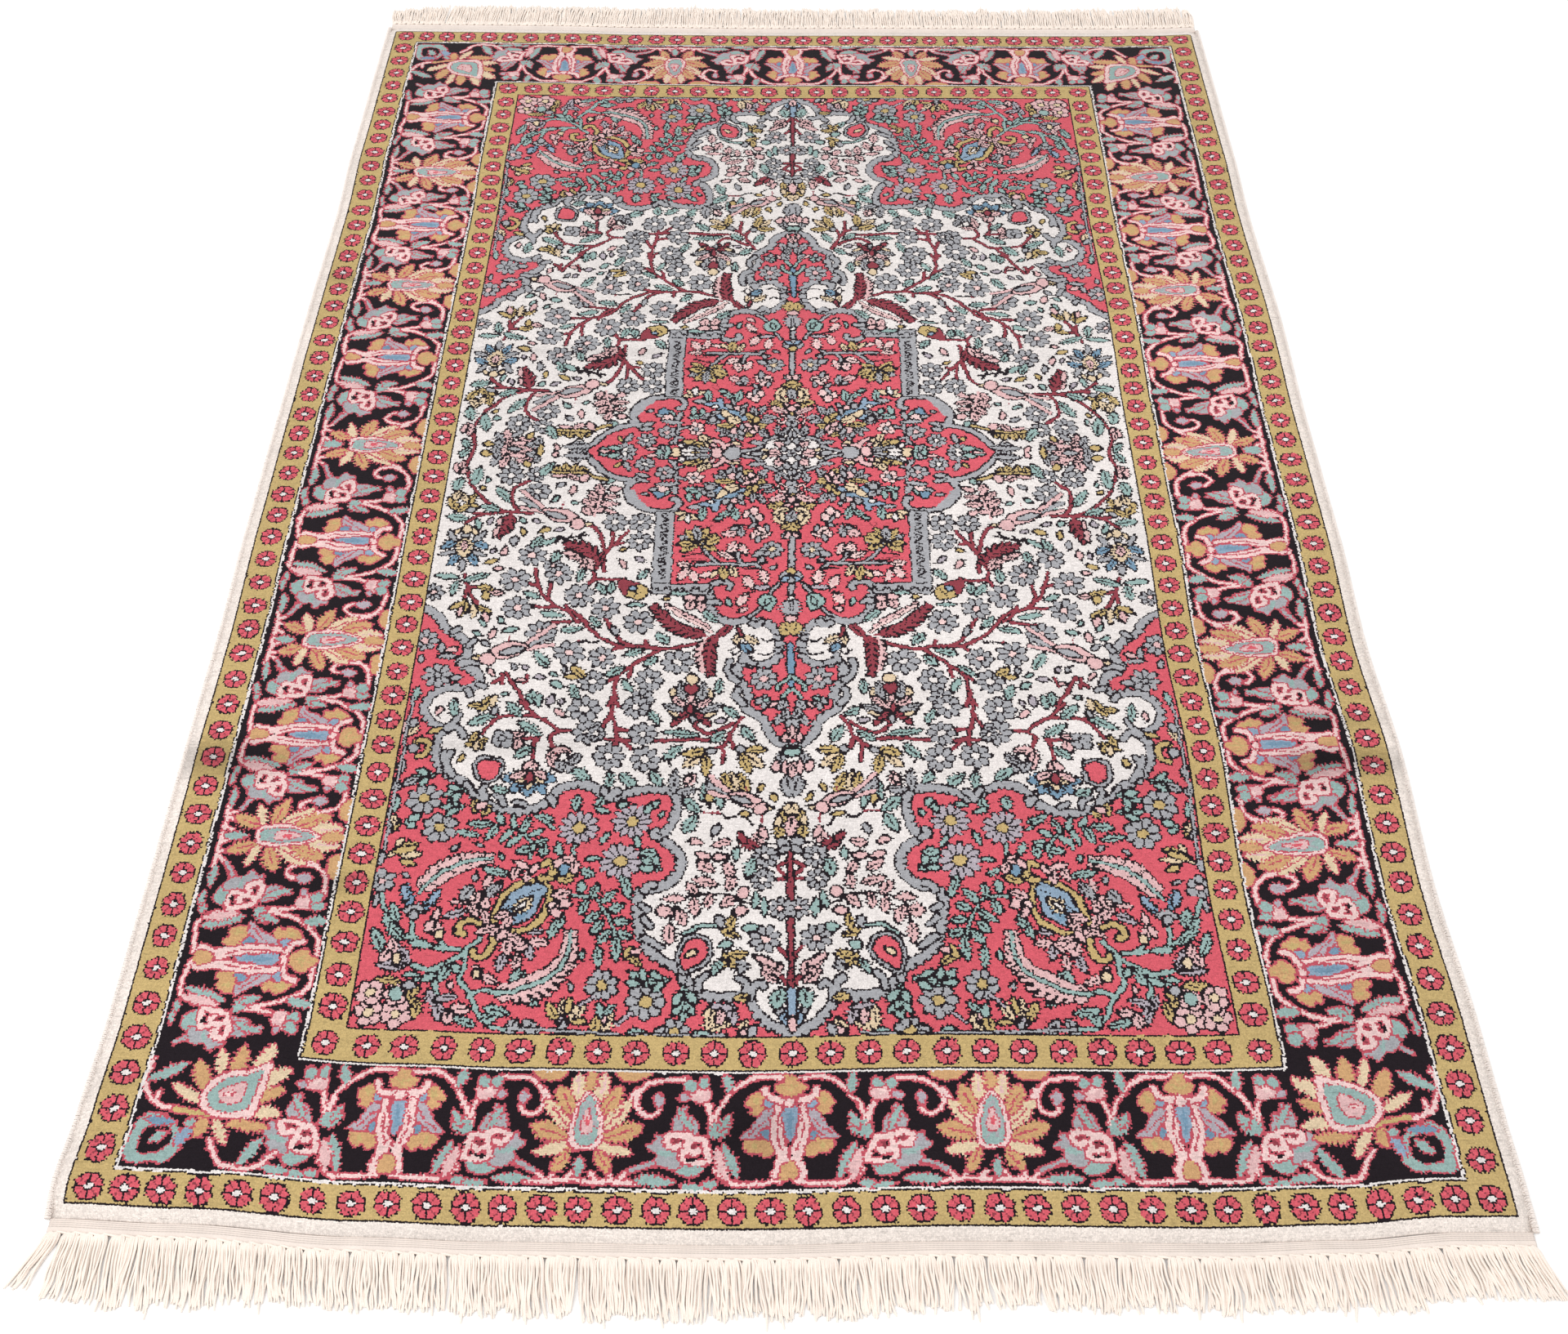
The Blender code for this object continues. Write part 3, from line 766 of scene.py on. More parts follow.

# %% [markdown]
# ## Blossoms and leaves on the ivory
# Round blossoms with a light heart sit where the branches fork, with small teal leaves between
# them. They could be scattered by chance, but a designer balances them, so their places
# are a list. Each row is a place, a size, and how far it is turned.

# %% Blossoms and leaves on the ivory
def meadow():
    blossoms(GREY, IVORY, [(169, 144, 13), (169, 115, 13), (198, 116, 13), (290, 68, 14), (323, 44, 14),
        (294, 40, 11), (148, 342, 15), (119, 317, 16), (155, 367, 13), (207, 344, 14), (147, 443, 15),
        (184, 440, 15), (151, 412, 14), (160, 377, 14), (207, 411, 15), (213, 381, 16), (199, 413, 9),
        (24, 556, 12), (26, 581, 11)])
    blossoms(GREY, BLUSH, [(286, 168, 15, 22), (163, 262, 16, 20), (199, 312, 14, 10),
        (234, 306, 16, 22), (267, 279, 16, 10), (295, 245, 16, 10), (230, 225, 16, 20),
        (302, 205, 16, 20), (254, 194, 15, 8), (200, 243, 15, 22), (262, 182, 10, 8), (389, 226, 11, 0),
        (24, 645, 14, 22), (8, 613, 11, 0)], depth=.36, core=.24)
    blossoms(GREY, CREAM, [(250, 8, 10, 22)], depth=.3)
    leaves(TEAL, [(293, 90, 95, 20, 12), (328, 75, -55, 30, 10), (362, 45, 80, 30, 12),
        (382, 60, 80, 20, 11), (376, 113, -5, 24, 10), (341, 98, -20, 22, 9), (351, 124, 105, 14, 5),
        (282, 31, 60, 24, 11), (271, 147, 35, 20, 6), (283, 148, 60, 20, 7), (260, 168, 75, 15, 8),
        (381, 8, 60, 16, 8), (147, 316, 40, 16, 9), (165, 304, 20, 24, 8), (136, 285, -50, 18, 9),
        (171, 349, 120, 18, 6), (184, 330, 35, 20, 7), (163, 193, 50, 17, 8), (75, 349, 90, 17, 8),
        (88, 252, -40, 26, 8), (367, 219, 80, 20, 8), (345, 203, 20, 30, 8), (377, 203, -5, 26, 6),
        (45, 411, -60, 22, 10), (75, 414, 40, 18, 9), (113, 411, -8, 36, 7), (120, 435, 45, 22, 9),
        (62, 382, -35, 18, 8), (141, 390, 115, 20, 8), (98, 519, 60, 22, 11), (98, 497, -45, 24, 10),
        (135, 466, 120, 18, 9), (163, 468, 140, 20, 9), (181, 469, 90, 20, 8), (288, 483, -20, 17, 8),
        (266, 407, -35, 28, 9), (284, 383, -45, 24, 10), (316, 397, 30, 30, 9), (347, 383, 100, 22, 8),
        (38, 633, 20, 12, 8), (24, 612, 90, 20, 6), (32, 604, 80, 18, 6), (38, 568, 70, 20, 11),
        (234, 273, 10, 22, 8), (211, 262, -50, 20, 7), (258, 253, -10, 26, 6), (262, 315, -55, 24, 9),
        (229, 195, 85, 20, 7), (207, 215, -60, 18, 8), (225, 358, -65, 20, 8), (196, 214, 85, 14, 8),
        (282, 226, -25, 18, 6), (268, 366, 100, 16, 9), (210, 462, -35, 20, 11), (270, 436, 40, 20, 8),
        (70, 494, 90, 14, 5), (260, 370, 90, 16, 6), (120, 220, 0, 20, 5), (168, 237, 0, 20, 4),
        (330, 268, 120, 12, 5), (52, 553, 80, 14, 6), (12, 706, 75, 20, 12), (68, 675, 60, 16, 7),
        (60, 652, 20, 12, 8), (209, 49, 30, 10, 8), (365, 246, 45, 10, 4)])
    leaves(GREY, [(250, 8, 0, 34, 6), (340, 250, 60, 10, 4), (188, 275, 110, 14, 5), (215, 48, 70, 8, 5)])
    lines(2.6, TEAL, [[(70, 632), (85, 632), (94, 638), (100, 641)]])

# %% [markdown]
# ## Tulips, buds and an iris
# Each of these larger flowers has its own build: a few petals of two or three yarns about a base.
# They are drawn after the blossoms, so that they lie over the leaves that they crowd.

# %% Tulips, buds and an iris
def ivory_flowers():
    # gold and cream tulips
    for petals in ([(36, 431, 5, 22, 9), (38, 443, 140, 24, 9), (47, 446, 115, 26, 9)],
                   [(48, 471, 112, 26, 9), (58, 472, 100, 28, 9), (65, 472, 95, 26, 8)],
                   [(86, 450, 95, 24, 9), (100, 444, 40, 24, 9), (98, 434, 15, 24, 8)],
                   [(332, 249, 150, 20, 7), (343, 252, 95, 20, 6), (353, 248, 85, 22, 7),
                    (360, 243, 35, 18, 6)]):
        for k, p in enumerate(petals):
            leaf(*p, CREAM if k == 1 else GOLD)
    leaves(GREY, [(52, 430, 90, 7, 7), (82, 432, 20, 9, 6)])
    leaves(PINK, [(328, 260, 110, 14, 6), (357, 253, 80, 14, 6), (319, 225, 0, 14, 7),
        (283, 345, 10, 10, 4)])
    leaves(GOLD, [(333, 219, -15, 18, 7), (331, 229, 100, 12, 7), (318, 427, 20, 22, 8),
        (315, 429, 120, 14, 7), (322, 420, 60, 14, 7), (316, 378, 60, 22, 9), (326, 380, 0, 14, 7),
        (222, 331, -35, 18, 8), (229, 338, 0, 14, 5), (330, 317, 0, 12, 8)])
    leaves(CREAM, [(318, 432, 90, 12, 6), (307, 374, 80, 16, 6)])
    leaves(GREY, [(305, 385, 60, 9, 6), (237, 329, 90, 8, 4)])
    # gold and maroon bud
    shape([(160, 212), (157, 222), (162, 229), (172, 228), (180, 224), (183, 212), (176, 206)], GOLD)
    lines(1.2, BLACK, [[(161, 216), (168, 222), (172, 228)], [(168, 222), (176, 214)]], edge=None)
    shape([(166, 208), (176, 212), (180, 224), (187, 214), (188, 202), (176, 203)], MAROON, rim=1.2)
    leaves(BLUE, [(172, 214, 30, 7, 5)])
    # pink blossom on a stem beside the medallion
    leaves(PINK, [(98, 238, 100, 14, 9), (110, 236, 80, 14, 9), (98, 227, 20, 10, 6),
        (110, 226, 0, 12, 7)])
    # iris
    shape([(90, 384), (98, 398), (104, 386), (92, 380)], MAROON)
    leaves(MAROON, [(88, 395, 130, 14, 6), (118, 395, 50, 14, 6), (95, 388, 150, 18, 7),
        (110, 388, 30, 18, 7)])
    leaves(GREY, [(83, 378, 20, 22, 7), (121, 378, 160, 22, 7)])
    leaves(CREAM, [(84, 386, 30, 12, 4), (121, 386, 150, 12, 4), (85, 357, 100, 12, 7),
        (122, 357, 80, 12, 7)])
    leaves(PINK, [(90, 370, 40, 20, 7), (116, 370, 140, 20, 7), (103, 374, 90, 24, 9),
        (103, 362, 90, 14, 6)])
    leaves(MAROON, [(104, 378, 90, 12, 5)])
    leaves(GREY, [(92, 355, 85, 22, 9), (113, 355, 95, 22, 9)])
    shape([(97, 350), (103, 360), (110, 350), (103, 345)], MAROON)
    leaves(CREAM, [(103, 339, 90, 12, 12)])
    leaves(GREY, [(102, 393, 90, 9, 5)])
    # finial above the pendant
    leaves(GREY, [(4, 474, 100, 24, 13), (13, 444, 80, 22, 9), (1, 433, 0, 12, 9)])
    leaves(PINK, [(0, 455, 100, 16, 12), (17, 450, 90, 12, 8), (8, 452, 90, 14, 6)])
    leaves(TEAL, [(3, 433, 0, 12, 7)])
    # lilac bud, teal bud
    leaves(GREY, [(104, 480, 10, 18, 8), (117, 469, 85, 26, 8)])
    leaves(PINK, [(102, 467, 60, 16, 11)])
    leaves(BLUSH, [(103, 467, 60, 9, 5)])
    leaves(TEAL, [(77, 481, 100, 22, 7), (86, 480, 80, 22, 7)])
    leaves(GREY, [(82, 474, 90, 20, 5)])
    leaves(GOLD, [(81, 489, 90, 12, 7)])
    lines(1, BLACK, [[(80, 500), (82, 494)], [(122, 450), (124, 442)]], rim=1)
    # blue fan on its stem
    fan(260, 463, 90, 150, 26, 12, [SKY, SKY, SKY, SKY, SKY])
    fan(260, 463, 90, 110, 16, 8, [CREAM, CREAM, CREAM])
    leaves(PINK, [(250, 463, 150, 15, 8), (273, 465, 30, 15, 8), (258, 452, 120, 12, 6),
        (264, 452, 60, 12, 6)])
    leaves(MAROON, [(261, 467, 90, 12, 8)])
    # pink and ivory flowers by the branch
    leaves(PINK, [(241, 445, 105, 24, 8), (232, 433, -5, 18, 8), (277, 427, 80, 14, 9),
        (278, 415, 20, 14, 7)])
    leaves(GREY, [(222, 450, 90, 20, 8), (232, 452, 110, 14, 9), (218, 444, 60, 14, 7)])
    leaves(IVORY, [(230, 441, 60, 9, 6)])
    blossom(292, 421, 11, GREY, GREY, 4, turn=45)

# %% [markdown]
# ## Flowers along the edge of the ivory
# Four palmettes stand on the short axis and along the side, cut by the edge of the field as though
# the pattern went on under the border.

# %% Flowers along the edge of the ivory
def edge_flowers():
    # side palmette on the short axis
    leaves(PINK, [(309, 18, 10, 22, 8), (310, 5, 10, 24, 8), (333, 21, 70, 22, 9), (330, 9, 40, 22, 9),
        (318, 11, 0, 20, 6), (335, 0, 90, 18, 8)])
    leaves(GREY, [(301, 8, 0, 16, 9), (343, 18, 70, 20, 8), (344, 4, 90, 22, 8), (322, 26, -40, 16, 6),
        (296, 14, 80, 14, 7), (324, 0, 0, 18, 6)])
    leaves(GOLD, [(355, 8, 0, 12, 8), (307, 24, 120, 10, 6), (293, 3, 90, 14, 5)])
    # gold creeper leaf with pink above
    leaves(GOLD, [(240, 32, 100, 14, 8), (250, 30, 80, 16, 9), (261, 30, 95, 16, 9),
        (271, 32, 80, 14, 8), (236, 36, 150, 10, 5)])
    lines(3, GOLD, [[(214, 46), (226, 42), (240, 36), (256, 35), (275, 36)]])
    leaves(PINK, [(238, 44, 60, 13, 9), (252, 42, -30, 18, 7), (267, 41, 10, 16, 4)])
    # blue palmette at the edge
    leaves(SKY, [(346, 155, 150, 20, 9), (380, 155, 30, 20, 9), (352, 176, 120, 22, 8),
        (372, 176, 60, 22, 8)])
    leaves(GREY, [(346, 168, 160, 18, 5), (381, 168, 20, 18, 5), (347, 142, 60, 18, 6),
        (378, 142, 120, 18, 6), (362, 185, 90, 16, 6), (363, 141, 90, 9, 7)])
    leaves(CREAM, [(363, 159, 90, 28, 17), (363, 131, 90, 11, 9), (354, 134, 120, 9, 4),
        (373, 135, 60, 9, 4)])
    leaves(PINK, [(363, 157, 90, 15, 7)])
    # gold flower at the edge
    leaves(GOLD, [(364, 86, 70, 24, 9), (372, 99, 30, 18, 8), (384, 92, -60, 20, 9),
        (359, 95, 150, 10, 6)])
    leaves(CREAM, [(372, 81, 110, 16, 8), (380, 78, 70, 16, 8)])
    leaves(GREY, [(362, 101, 20, 10, 6)])
    leaves(PINK, [(381, 32, 80, 20, 8), (386, 33, 100, 14, 5), (378, 38, 60, 8, 4)])

# %% [markdown]
# ## Feathered sprays
# Maroon and pink sprays curl away from the branches. A spray is a rib with leaflets, which the
# plume tool grows along a curve.

# %% Feathered sprays
def sprays():
    plume([(83, 282), (86, 300), (87, 318), (84, 334)], MAROON, MAROON, 12, 4.6, 42, 7.5)
    plume([(92, 284), (96, 305), (92, 330)], PINK, PINK, 9, 5, 40, 7, sides=(-1,))
    lines(4, MAROON, [[(68, 266), (76, 276), (80, 290)]], rim=1.1)
    plume([(90, 280), (112, 274), (130, 262), (150, 238)], MAROON, MAROON, 15, 5, 36, 8)
    plume([(84, 276), (100, 264), (118, 252), (134, 240)], PINK, BLUSH, 13, 6, 25, 9, sides=(-1,))
    plume([(212, 186), (218, 166), (234, 153), (252, 150)], MAROON, MAROON, 14, 5, 42, 8)
    leaves(PINK, [(222, 178, 120, 22, 9), (232, 172, 150, 18, 7), (240, 168, 170, 16, 7),
        (228, 186, 100, 14, 6), (246, 163, 170, 14, 6)])
    plume([(316, 104), (320, 122), (328, 142)], MAROON, MAROON, 14, 5, 40, 8)
    leaves(PINK, [(330, 134, 80, 18, 5), (328, 118, 80, 12, 4)])
    plume([(224, 106), (220, 88), (214, 66)], PINK, PINK, 15, 8, 60, 12, edge=BLACK)
    leaves(PINK, [(204, 100, 150, 16, 6), (232, 98, 130, 14, 7), (206, 86, 5, 20, 7),
        (230, 84, 140, 16, 8), (205, 74, 5, 16, 7), (226, 72, 130, 16, 8), (202, 62, 20, 12, 8),
        (218, 62, 110, 16, 9)])

# %% [markdown]
# ## The little tree
# At each end of the ivory ground stands a little tree in a gallery of pink leaves, with gold
# leaves and a blue crown on the long axis.

# %% The little tree
def little_tree():
    # the dark twig
    lines(1, BLACK, [[(226, 135), (236, 137), (246, 140), (256, 142)], [(232, 130), (236, 142)],
        [(246, 134), (254, 148)], [(250, 143), (260, 138)], [(262, 148), (258, 138)]], rim=1.3)
    # gallery of pink leaves round the little tree
    leaves(PINK, [(113, 641, 90, 20, 10), (103, 622, 110, 18, 9), (118, 617, 0, 14, 12),
        (90, 611, 95, 18, 8), (77, 605, 90, 16, 7), (60, 606, 45, 15, 9), (47, 616, 0, 12, 9),
        (45, 596, 60, 13, 10), (92, 592, -50, 16, 8), (57, 584, 75, 18, 8), (80, 584, -20, 22, 8),
        (59, 570, -60, 15, 9), (81, 567, -35, 18, 9), (66, 556, 20, 14, 6), (84, 555, -20, 14, 6),
        (109, 603, 0, 20, 6), (67, 556, 0, 12, 7), (66, 541, 20, 15, 8)])
    leaves(PINK, [(19, 684, -40, 18, 8), (13, 676, 110, 14, 7), (22, 672, -55, 20, 8),
        (24, 668, -30, 22, 6)])
    leaves(GREY, [(47, 673, -15, 16, 12), (66, 628, 90, 12, 8)])
    leaves(GOLD, [(56, 668, -50, 18, 7), (49, 661, 0, 16, 7), (56, 640, -20, 18, 7),
        (55, 629, 85, 18, 7), (62, 672, 60, 9, 5)])
    leaves(BLUE, [(6, 725, 90, 14, 9)])
    lines(7, BLUE, [[(0, 700), (0, 722)]])
    leaves(PINK, [(0, 732, 90, 14, 9)])
    leaves(GREY, [(12, 718, 80, 8, 5)])
    # axis above the finial
    leaves(PINK, [(0, 521, 90, 24, 11), (3, 610, 90, 10, 6), (30, 535, 70, 24, 10),
        (26, 528, 110, 14, 6)])
    leaves(GOLD, [(12, 527, 95, 18, 8), (9, 510, 100, 12, 9)])
    leaves(CREAM, [(12, 515, 90, 10, 6), (2, 501, 60, 14, 10)])
    leaves(MAROON, [(40, 541, -35, 24, 11), (47, 533, -50, 14, 6)])
    leaves(GREY, [(7, 540, 100, 12, 10), (6, 548, 30, 12, 6)])
    lines(1, BLACK, [[(36, 520), (42, 514)], [(10, 480), (12, 470)]], rim=1)

# %% [markdown]
# ## Birds
# Three plain birds sit among the branches of each quarter. One function draws them all: a leaf
# for the body, another for the wing and one for the beak, a disc for the head, and three strokes
# for the tail. Each is given a place, the way it faces and a size.

# %% Birds
def bird(u, v, facing, size):
    """A perching bird made of leaves and a disc; facing is 1 or -1 across the rug."""
    slope = 20 if facing > 0 else 160
    for k, yarn in enumerate((PINK, GREY, PINK)):
        tail = [(u - facing * size * (0.4 + 0.7 * step), v - size * step * (0.2 + 0.25 * k))
                for step in (0, 1, 2)]
        lines(4.5, yarn, [tail], rim=1.2)
    lines(1.2, MAROON, [[(u, v - size * 0.3), (u, v - size * 0.8)]], edge=None)
    leaf(u, v, slope, size * 1.7, size * 0.75, PINK, teeth=0, vein=PINK)
    leaf(u - facing * size * 0.2, v, slope, size, size * 0.3, GREY, teeth=0, vein=GREY)
    leaf(u + facing * size * 1.15, v + size * 0.5, 0, size * 0.45, size * 0.16, CREAM, teeth=0)
    disc(u + facing * size * 0.75, v + size * 0.5, size * 0.3 + RIM, BLACK)
    disc(u + facing * size * 0.75, v + size * 0.5, size * 0.3, PINK)


def birds():
    bird(260, 105, -1, 26)
    bird(300, 305, 1, 26)
    bird(45, 490, -1, 20)

# %% [markdown]
# ## Flowers in the side corners
# The red corners begin at the short axis with two blossoms, half hidden by the inner border.

# %% Flowers in the side corners
def side_corner():
    blossom(369, 341, 15, GREY, GREY, 8, turn=10, depth=.4, core=.2)
    leaves(GREY, [(350, 344, 0, 12, 6), (362, 315, 0, 22, 5), (370, 304, 100, 14, 6)])
    leaves(PINK, [(359, 306, 20, 12, 6)])
    blossom(389, 294, 14, GREY, PINK, 8, turn=0, depth=.3)
    leaves(TEAL, [(388, 366, 80, 18, 6)])
    leaves(GREY, [(389, 320, 100, 10, 5)])

# %% [markdown]
# ## Flowers in the red corners
# Lilac and grey rosettes with gold hearts fill the red corners, joined by stems with paired teal
# leaves.

# %% Flowers in the red corners
def spandrel():
    blossoms(LILAC, GOLD, [(155, 517, 19), (206, 526, 19), (163, 563, 20)], petals=12, depth=.3, core=.3)
    blossoms(GREY, GOLD, [(341, 530, 17, 22), (361, 497, 17, 22), (132, 711, 17, 0), (172, 695, 15, 22),
        (105, 741, 14, 22)], petals=8, depth=.22, core=.3)
    # broken teal leaves
    for u, v, a in ((332, 506, 0), (332, 489, 20), (366, 470, 10), (97, 717, 90), (97, 706, 100),
        (122, 690, 10), (140, 688, -40), (133, 566, -40)):
        leaf(u, v, a, 24, 9, TEAL)
        leaf(u + 6 * math.cos(math.radians(a + 90)), v + 6 * math.sin(math.radians(a + 90)), a + 35, 13,
            6, TEAL)
        leaf(u - 6 * math.cos(math.radians(a + 90)), v - 6 * math.sin(math.radians(a + 90)), a - 35, 13,
            6, TEAL)
    lines(2.4, TEAL, [[(250, 560), (248, 548), (254, 538), (262, 530)],
        [(162, 652), (166, 634), (173, 618), (184, 604), (206, 602)], [(208, 545), (207, 560)],
        [(230, 527), (238, 519)], [(286, 528), (296, 520)]], rim=1.4)
    leaves(TEAL, [(237, 552, 80, 14, 8), (242, 543, 20, 14, 8), (256, 551, 15, 14, 8),
        (267, 541, 45, 20, 6), (247, 531, 30, 14, 6), (258, 523, 70, 18, 7), (274, 533, 60, 24, 6),
        (289, 532, 60, 22, 7), (303, 524, 0, 22, 8), (312, 536, -8, 22, 7), (284, 517, -60, 14, 6),
        (240, 515, -25, 22, 7), (222, 550, -70, 16, 6), (270, 521, 100, 18, 5), (161, 657, 88, 26, 8),
        (154, 642, -25, 16, 8), (173, 645, 55, 18, 8), (180, 635, 50, 16, 7), (158, 628, -5, 14, 7),
        (184, 624, 35, 20, 7), (163, 614, 30, 14, 8), (171, 602, 50, 18, 8), (194, 614, 70, 16, 8),
        (185, 597, 80, 16, 7), (198, 592, 85, 13, 7), (155, 592, 110, 26, 8), (177, 667, 95, 22, 7),
        (194, 576, -25, 16, 7), (190, 561, 0, 14, 4), (136, 553, 0, 14, 8), (188, 498, 80, 18, 8),
        (211, 497, 90, 16, 9), (135, 497, 45, 12, 7), (140, 741, 10, 14, 8), (371, 526, -40, 12, 7),
        (367, 519, 40, 12, 7), (388, 504, 90, 18, 5), (148, 541, 110, 14, 5), (180, 537, 60, 16, 5),
        (140, 502, 60, 10, 5), (165, 498, 20, 12, 5), (185, 505, -20, 14, 5), (192, 665, 90, 9, 4)])
    leaves(GOLD, [(298, 508, 60, 14, 7), (310, 503, 90, 16, 8), (145, 667, -40, 20, 7),
        (150, 661, 60, 14, 6), (45, 706, 0, 14, 7), (370, 552, 20, 22, 8), (385, 530, 70, 16, 7),
        (362, 413, 30, 14, 5), (378, 428, 60, 16, 7)])
    lines(5, GOLD, [[(376, 446), (368, 442), (366, 432), (370, 426), (376, 425)]])
    leaves(PINK, [(303, 503, 30, 11, 7), (142, 660, 20, 10, 5), (392, 410, 90, 14, 10)])
    leaves(CREAM, [(385, 412, 70, 18, 8), (388, 525, 80, 16, 7), (382, 560, 60, 12, 5),
        (377, 548, 60, 10, 5)])
    leaves(GREY, [(382, 436, 0, 10, 10), (386, 404, 60, 12, 7), (378, 477, 30, 14, 8),
        (390, 460, 80, 16, 6), (392, 482, 90, 12, 8), (390, 532, 100, 12, 5)])

# %% [markdown]
# ## The end of the field
# Tulips stand in a row along the end, and a thin grey line runs along the edge of the field.

# %% The end of the field
def field_end():
    # cream tulips at the end
    leaves(CREAM, [(64, 733, 30, 22, 8), (74, 727, 85, 26, 9), (165, 733, 60, 22, 8),
        (192, 722, 60, 26, 8), (207, 722, 85, 24, 7), (44, 734, 60, 16, 7)])
    leaves(LILAC, [(54, 722, 100, 20, 8), (64, 715, -10, 20, 6), (207, 731, 0, 9, 8)])
    leaves(PINK, [(64, 724, 90, 14, 7), (168, 727, 100, 9, 5), (42, 738, 20, 9, 6)])
    leaves(GOLD, [(175, 734, 75, 20, 8), (215, 722, -60, 20, 8), (190, 732, 0, 14, 5),
        (200, 716, 80, 16, 5)])
    leaves(TEAL, [(164, 719, 40, 16, 7), (172, 720, 110, 14, 6), (80, 741, 0, 14, 6)])
    leaves(GREY, [(36, 738, 60, 12, 7), (205, 737, 80, 12, 5), (232, 738, -50, 18, 9),
        (250, 737, 60, 18, 9), (118, 738, 30, 9, 5)])
    lines(2.2, LILAC, [[(143, 722), (150, 728), (156, 733)], [(178, 706), (186, 712), (190, 716)]],
        rim=1.2)
    # grey line along the edge of the field
    lines(2.2, GREY, [[(391, 372), (391, 430), (392, 500), (391, 560)],
        [(60, 742), (110, 744), (200, 741), (270, 738)]], rim=1.2)
    blossom(388, 592, 13, GREY, PINK, 6, turn=30)
    leaves(GREY, [(390, 612, 80, 12, 5), (392, 568, 80, 14, 5)])

# %% [markdown]
# ## The tree in the corner
# From the outer corner a teal stem forks five ways, and two long pink plumes curl back from it.

# %% The tree in the corner
def corner_tree():
    lines(3.8, TEAL, [[(288, 650), (298, 661), (306, 670), (318, 678), (330, 683), (345, 681)],
        [(300, 664), (299, 680), (302, 692), (290, 708), (282, 722), (272, 736), (256, 739)],
        [(306, 662), (325, 661), (342, 657), (356, 650), (368, 640), (380, 622), (386, 606)],
        [(318, 660), (326, 652), (332, 644)], [(345, 657), (351, 645), (354, 626)],
        [(318, 678), (324, 692), (322, 706), (316, 714)], [(326, 683), (336, 693), (342, 692)],
        [(345, 681), (352, 676), (356, 668)], [(290, 706), (278, 702), (266, 704)]], rim=1.4)
    leaves(TEAL, [(270, 727, 70, 20, 10), (264, 722, -10, 24, 8), (240, 710, -25, 26, 7),
        (249, 692, 60, 22, 9), (252, 686, 70, 16, 6), (293, 733, -20, 24, 8), (372, 640, -60, 34, 9),
        (366, 645, -50, 20, 7), (316, 686, 60, 20, 8), (330, 691, 30, 14, 6), (382, 655, -65, 26, 9),
        (370, 625, -70, 20, 8), (220, 636, 70, 24, 9), (215, 628, 80, 16, 7), (280, 577, -15, 26, 7),
        (306, 682, 120, 9, 6), (345, 689, 0, 14, 4), (342, 658, -10, 22, 6), (248, 548, 90, 9, 4)])
    leaves(LILAC, [(366, 680, -5, 26, 8), (356, 668, -60, 22, 8), (318, 724, 100, 22, 8),
        (325, 712, -60, 16, 7), (312, 711, 10, 18, 7), (242, 660, 110, 20, 8), (265, 672, 70, 20, 8),
        (240, 640, -5, 18, 7), (314, 625, 25, 20, 8), (280, 597, 60, 22, 8)])
    # plumes
    plume([(352, 604), (343, 592), (330, 578), (312, 568), (288, 562)], PINK, TEAL, 17, 6, 40, 7)
    plume([(272, 704), (252, 702), (232, 694), (216, 684), (206, 668), (204, 640)], PINK, TEAL, 17, 7,
        40, 8)
    plume([(258, 706), (240, 704), (222, 696), (206, 676)], PINK, PINK, 13, 6, 50, 8, sides=(-1,))
    lines(3.6, TEAL, [[(270, 704), (252, 702), (232, 694), (216, 684), (206, 668)]], rim=1.4)
    leaves(SKY, [(338, 612, 60, 26, 8), (361, 606, 110, 24, 8)])
    leaves(BLUE, [(336, 608, 60, 18, 6), (364, 604, 110, 16, 6)])
    leaves(GREY, [(352, 622, 0, 20, 10), (352, 628, 90, 10, 8)])

# %% [markdown]
# ## The great palmette
# A blue bud in a gold husk is the heart of each corner, with petals all round it. It is drawn
# last, because it lies over the stems.

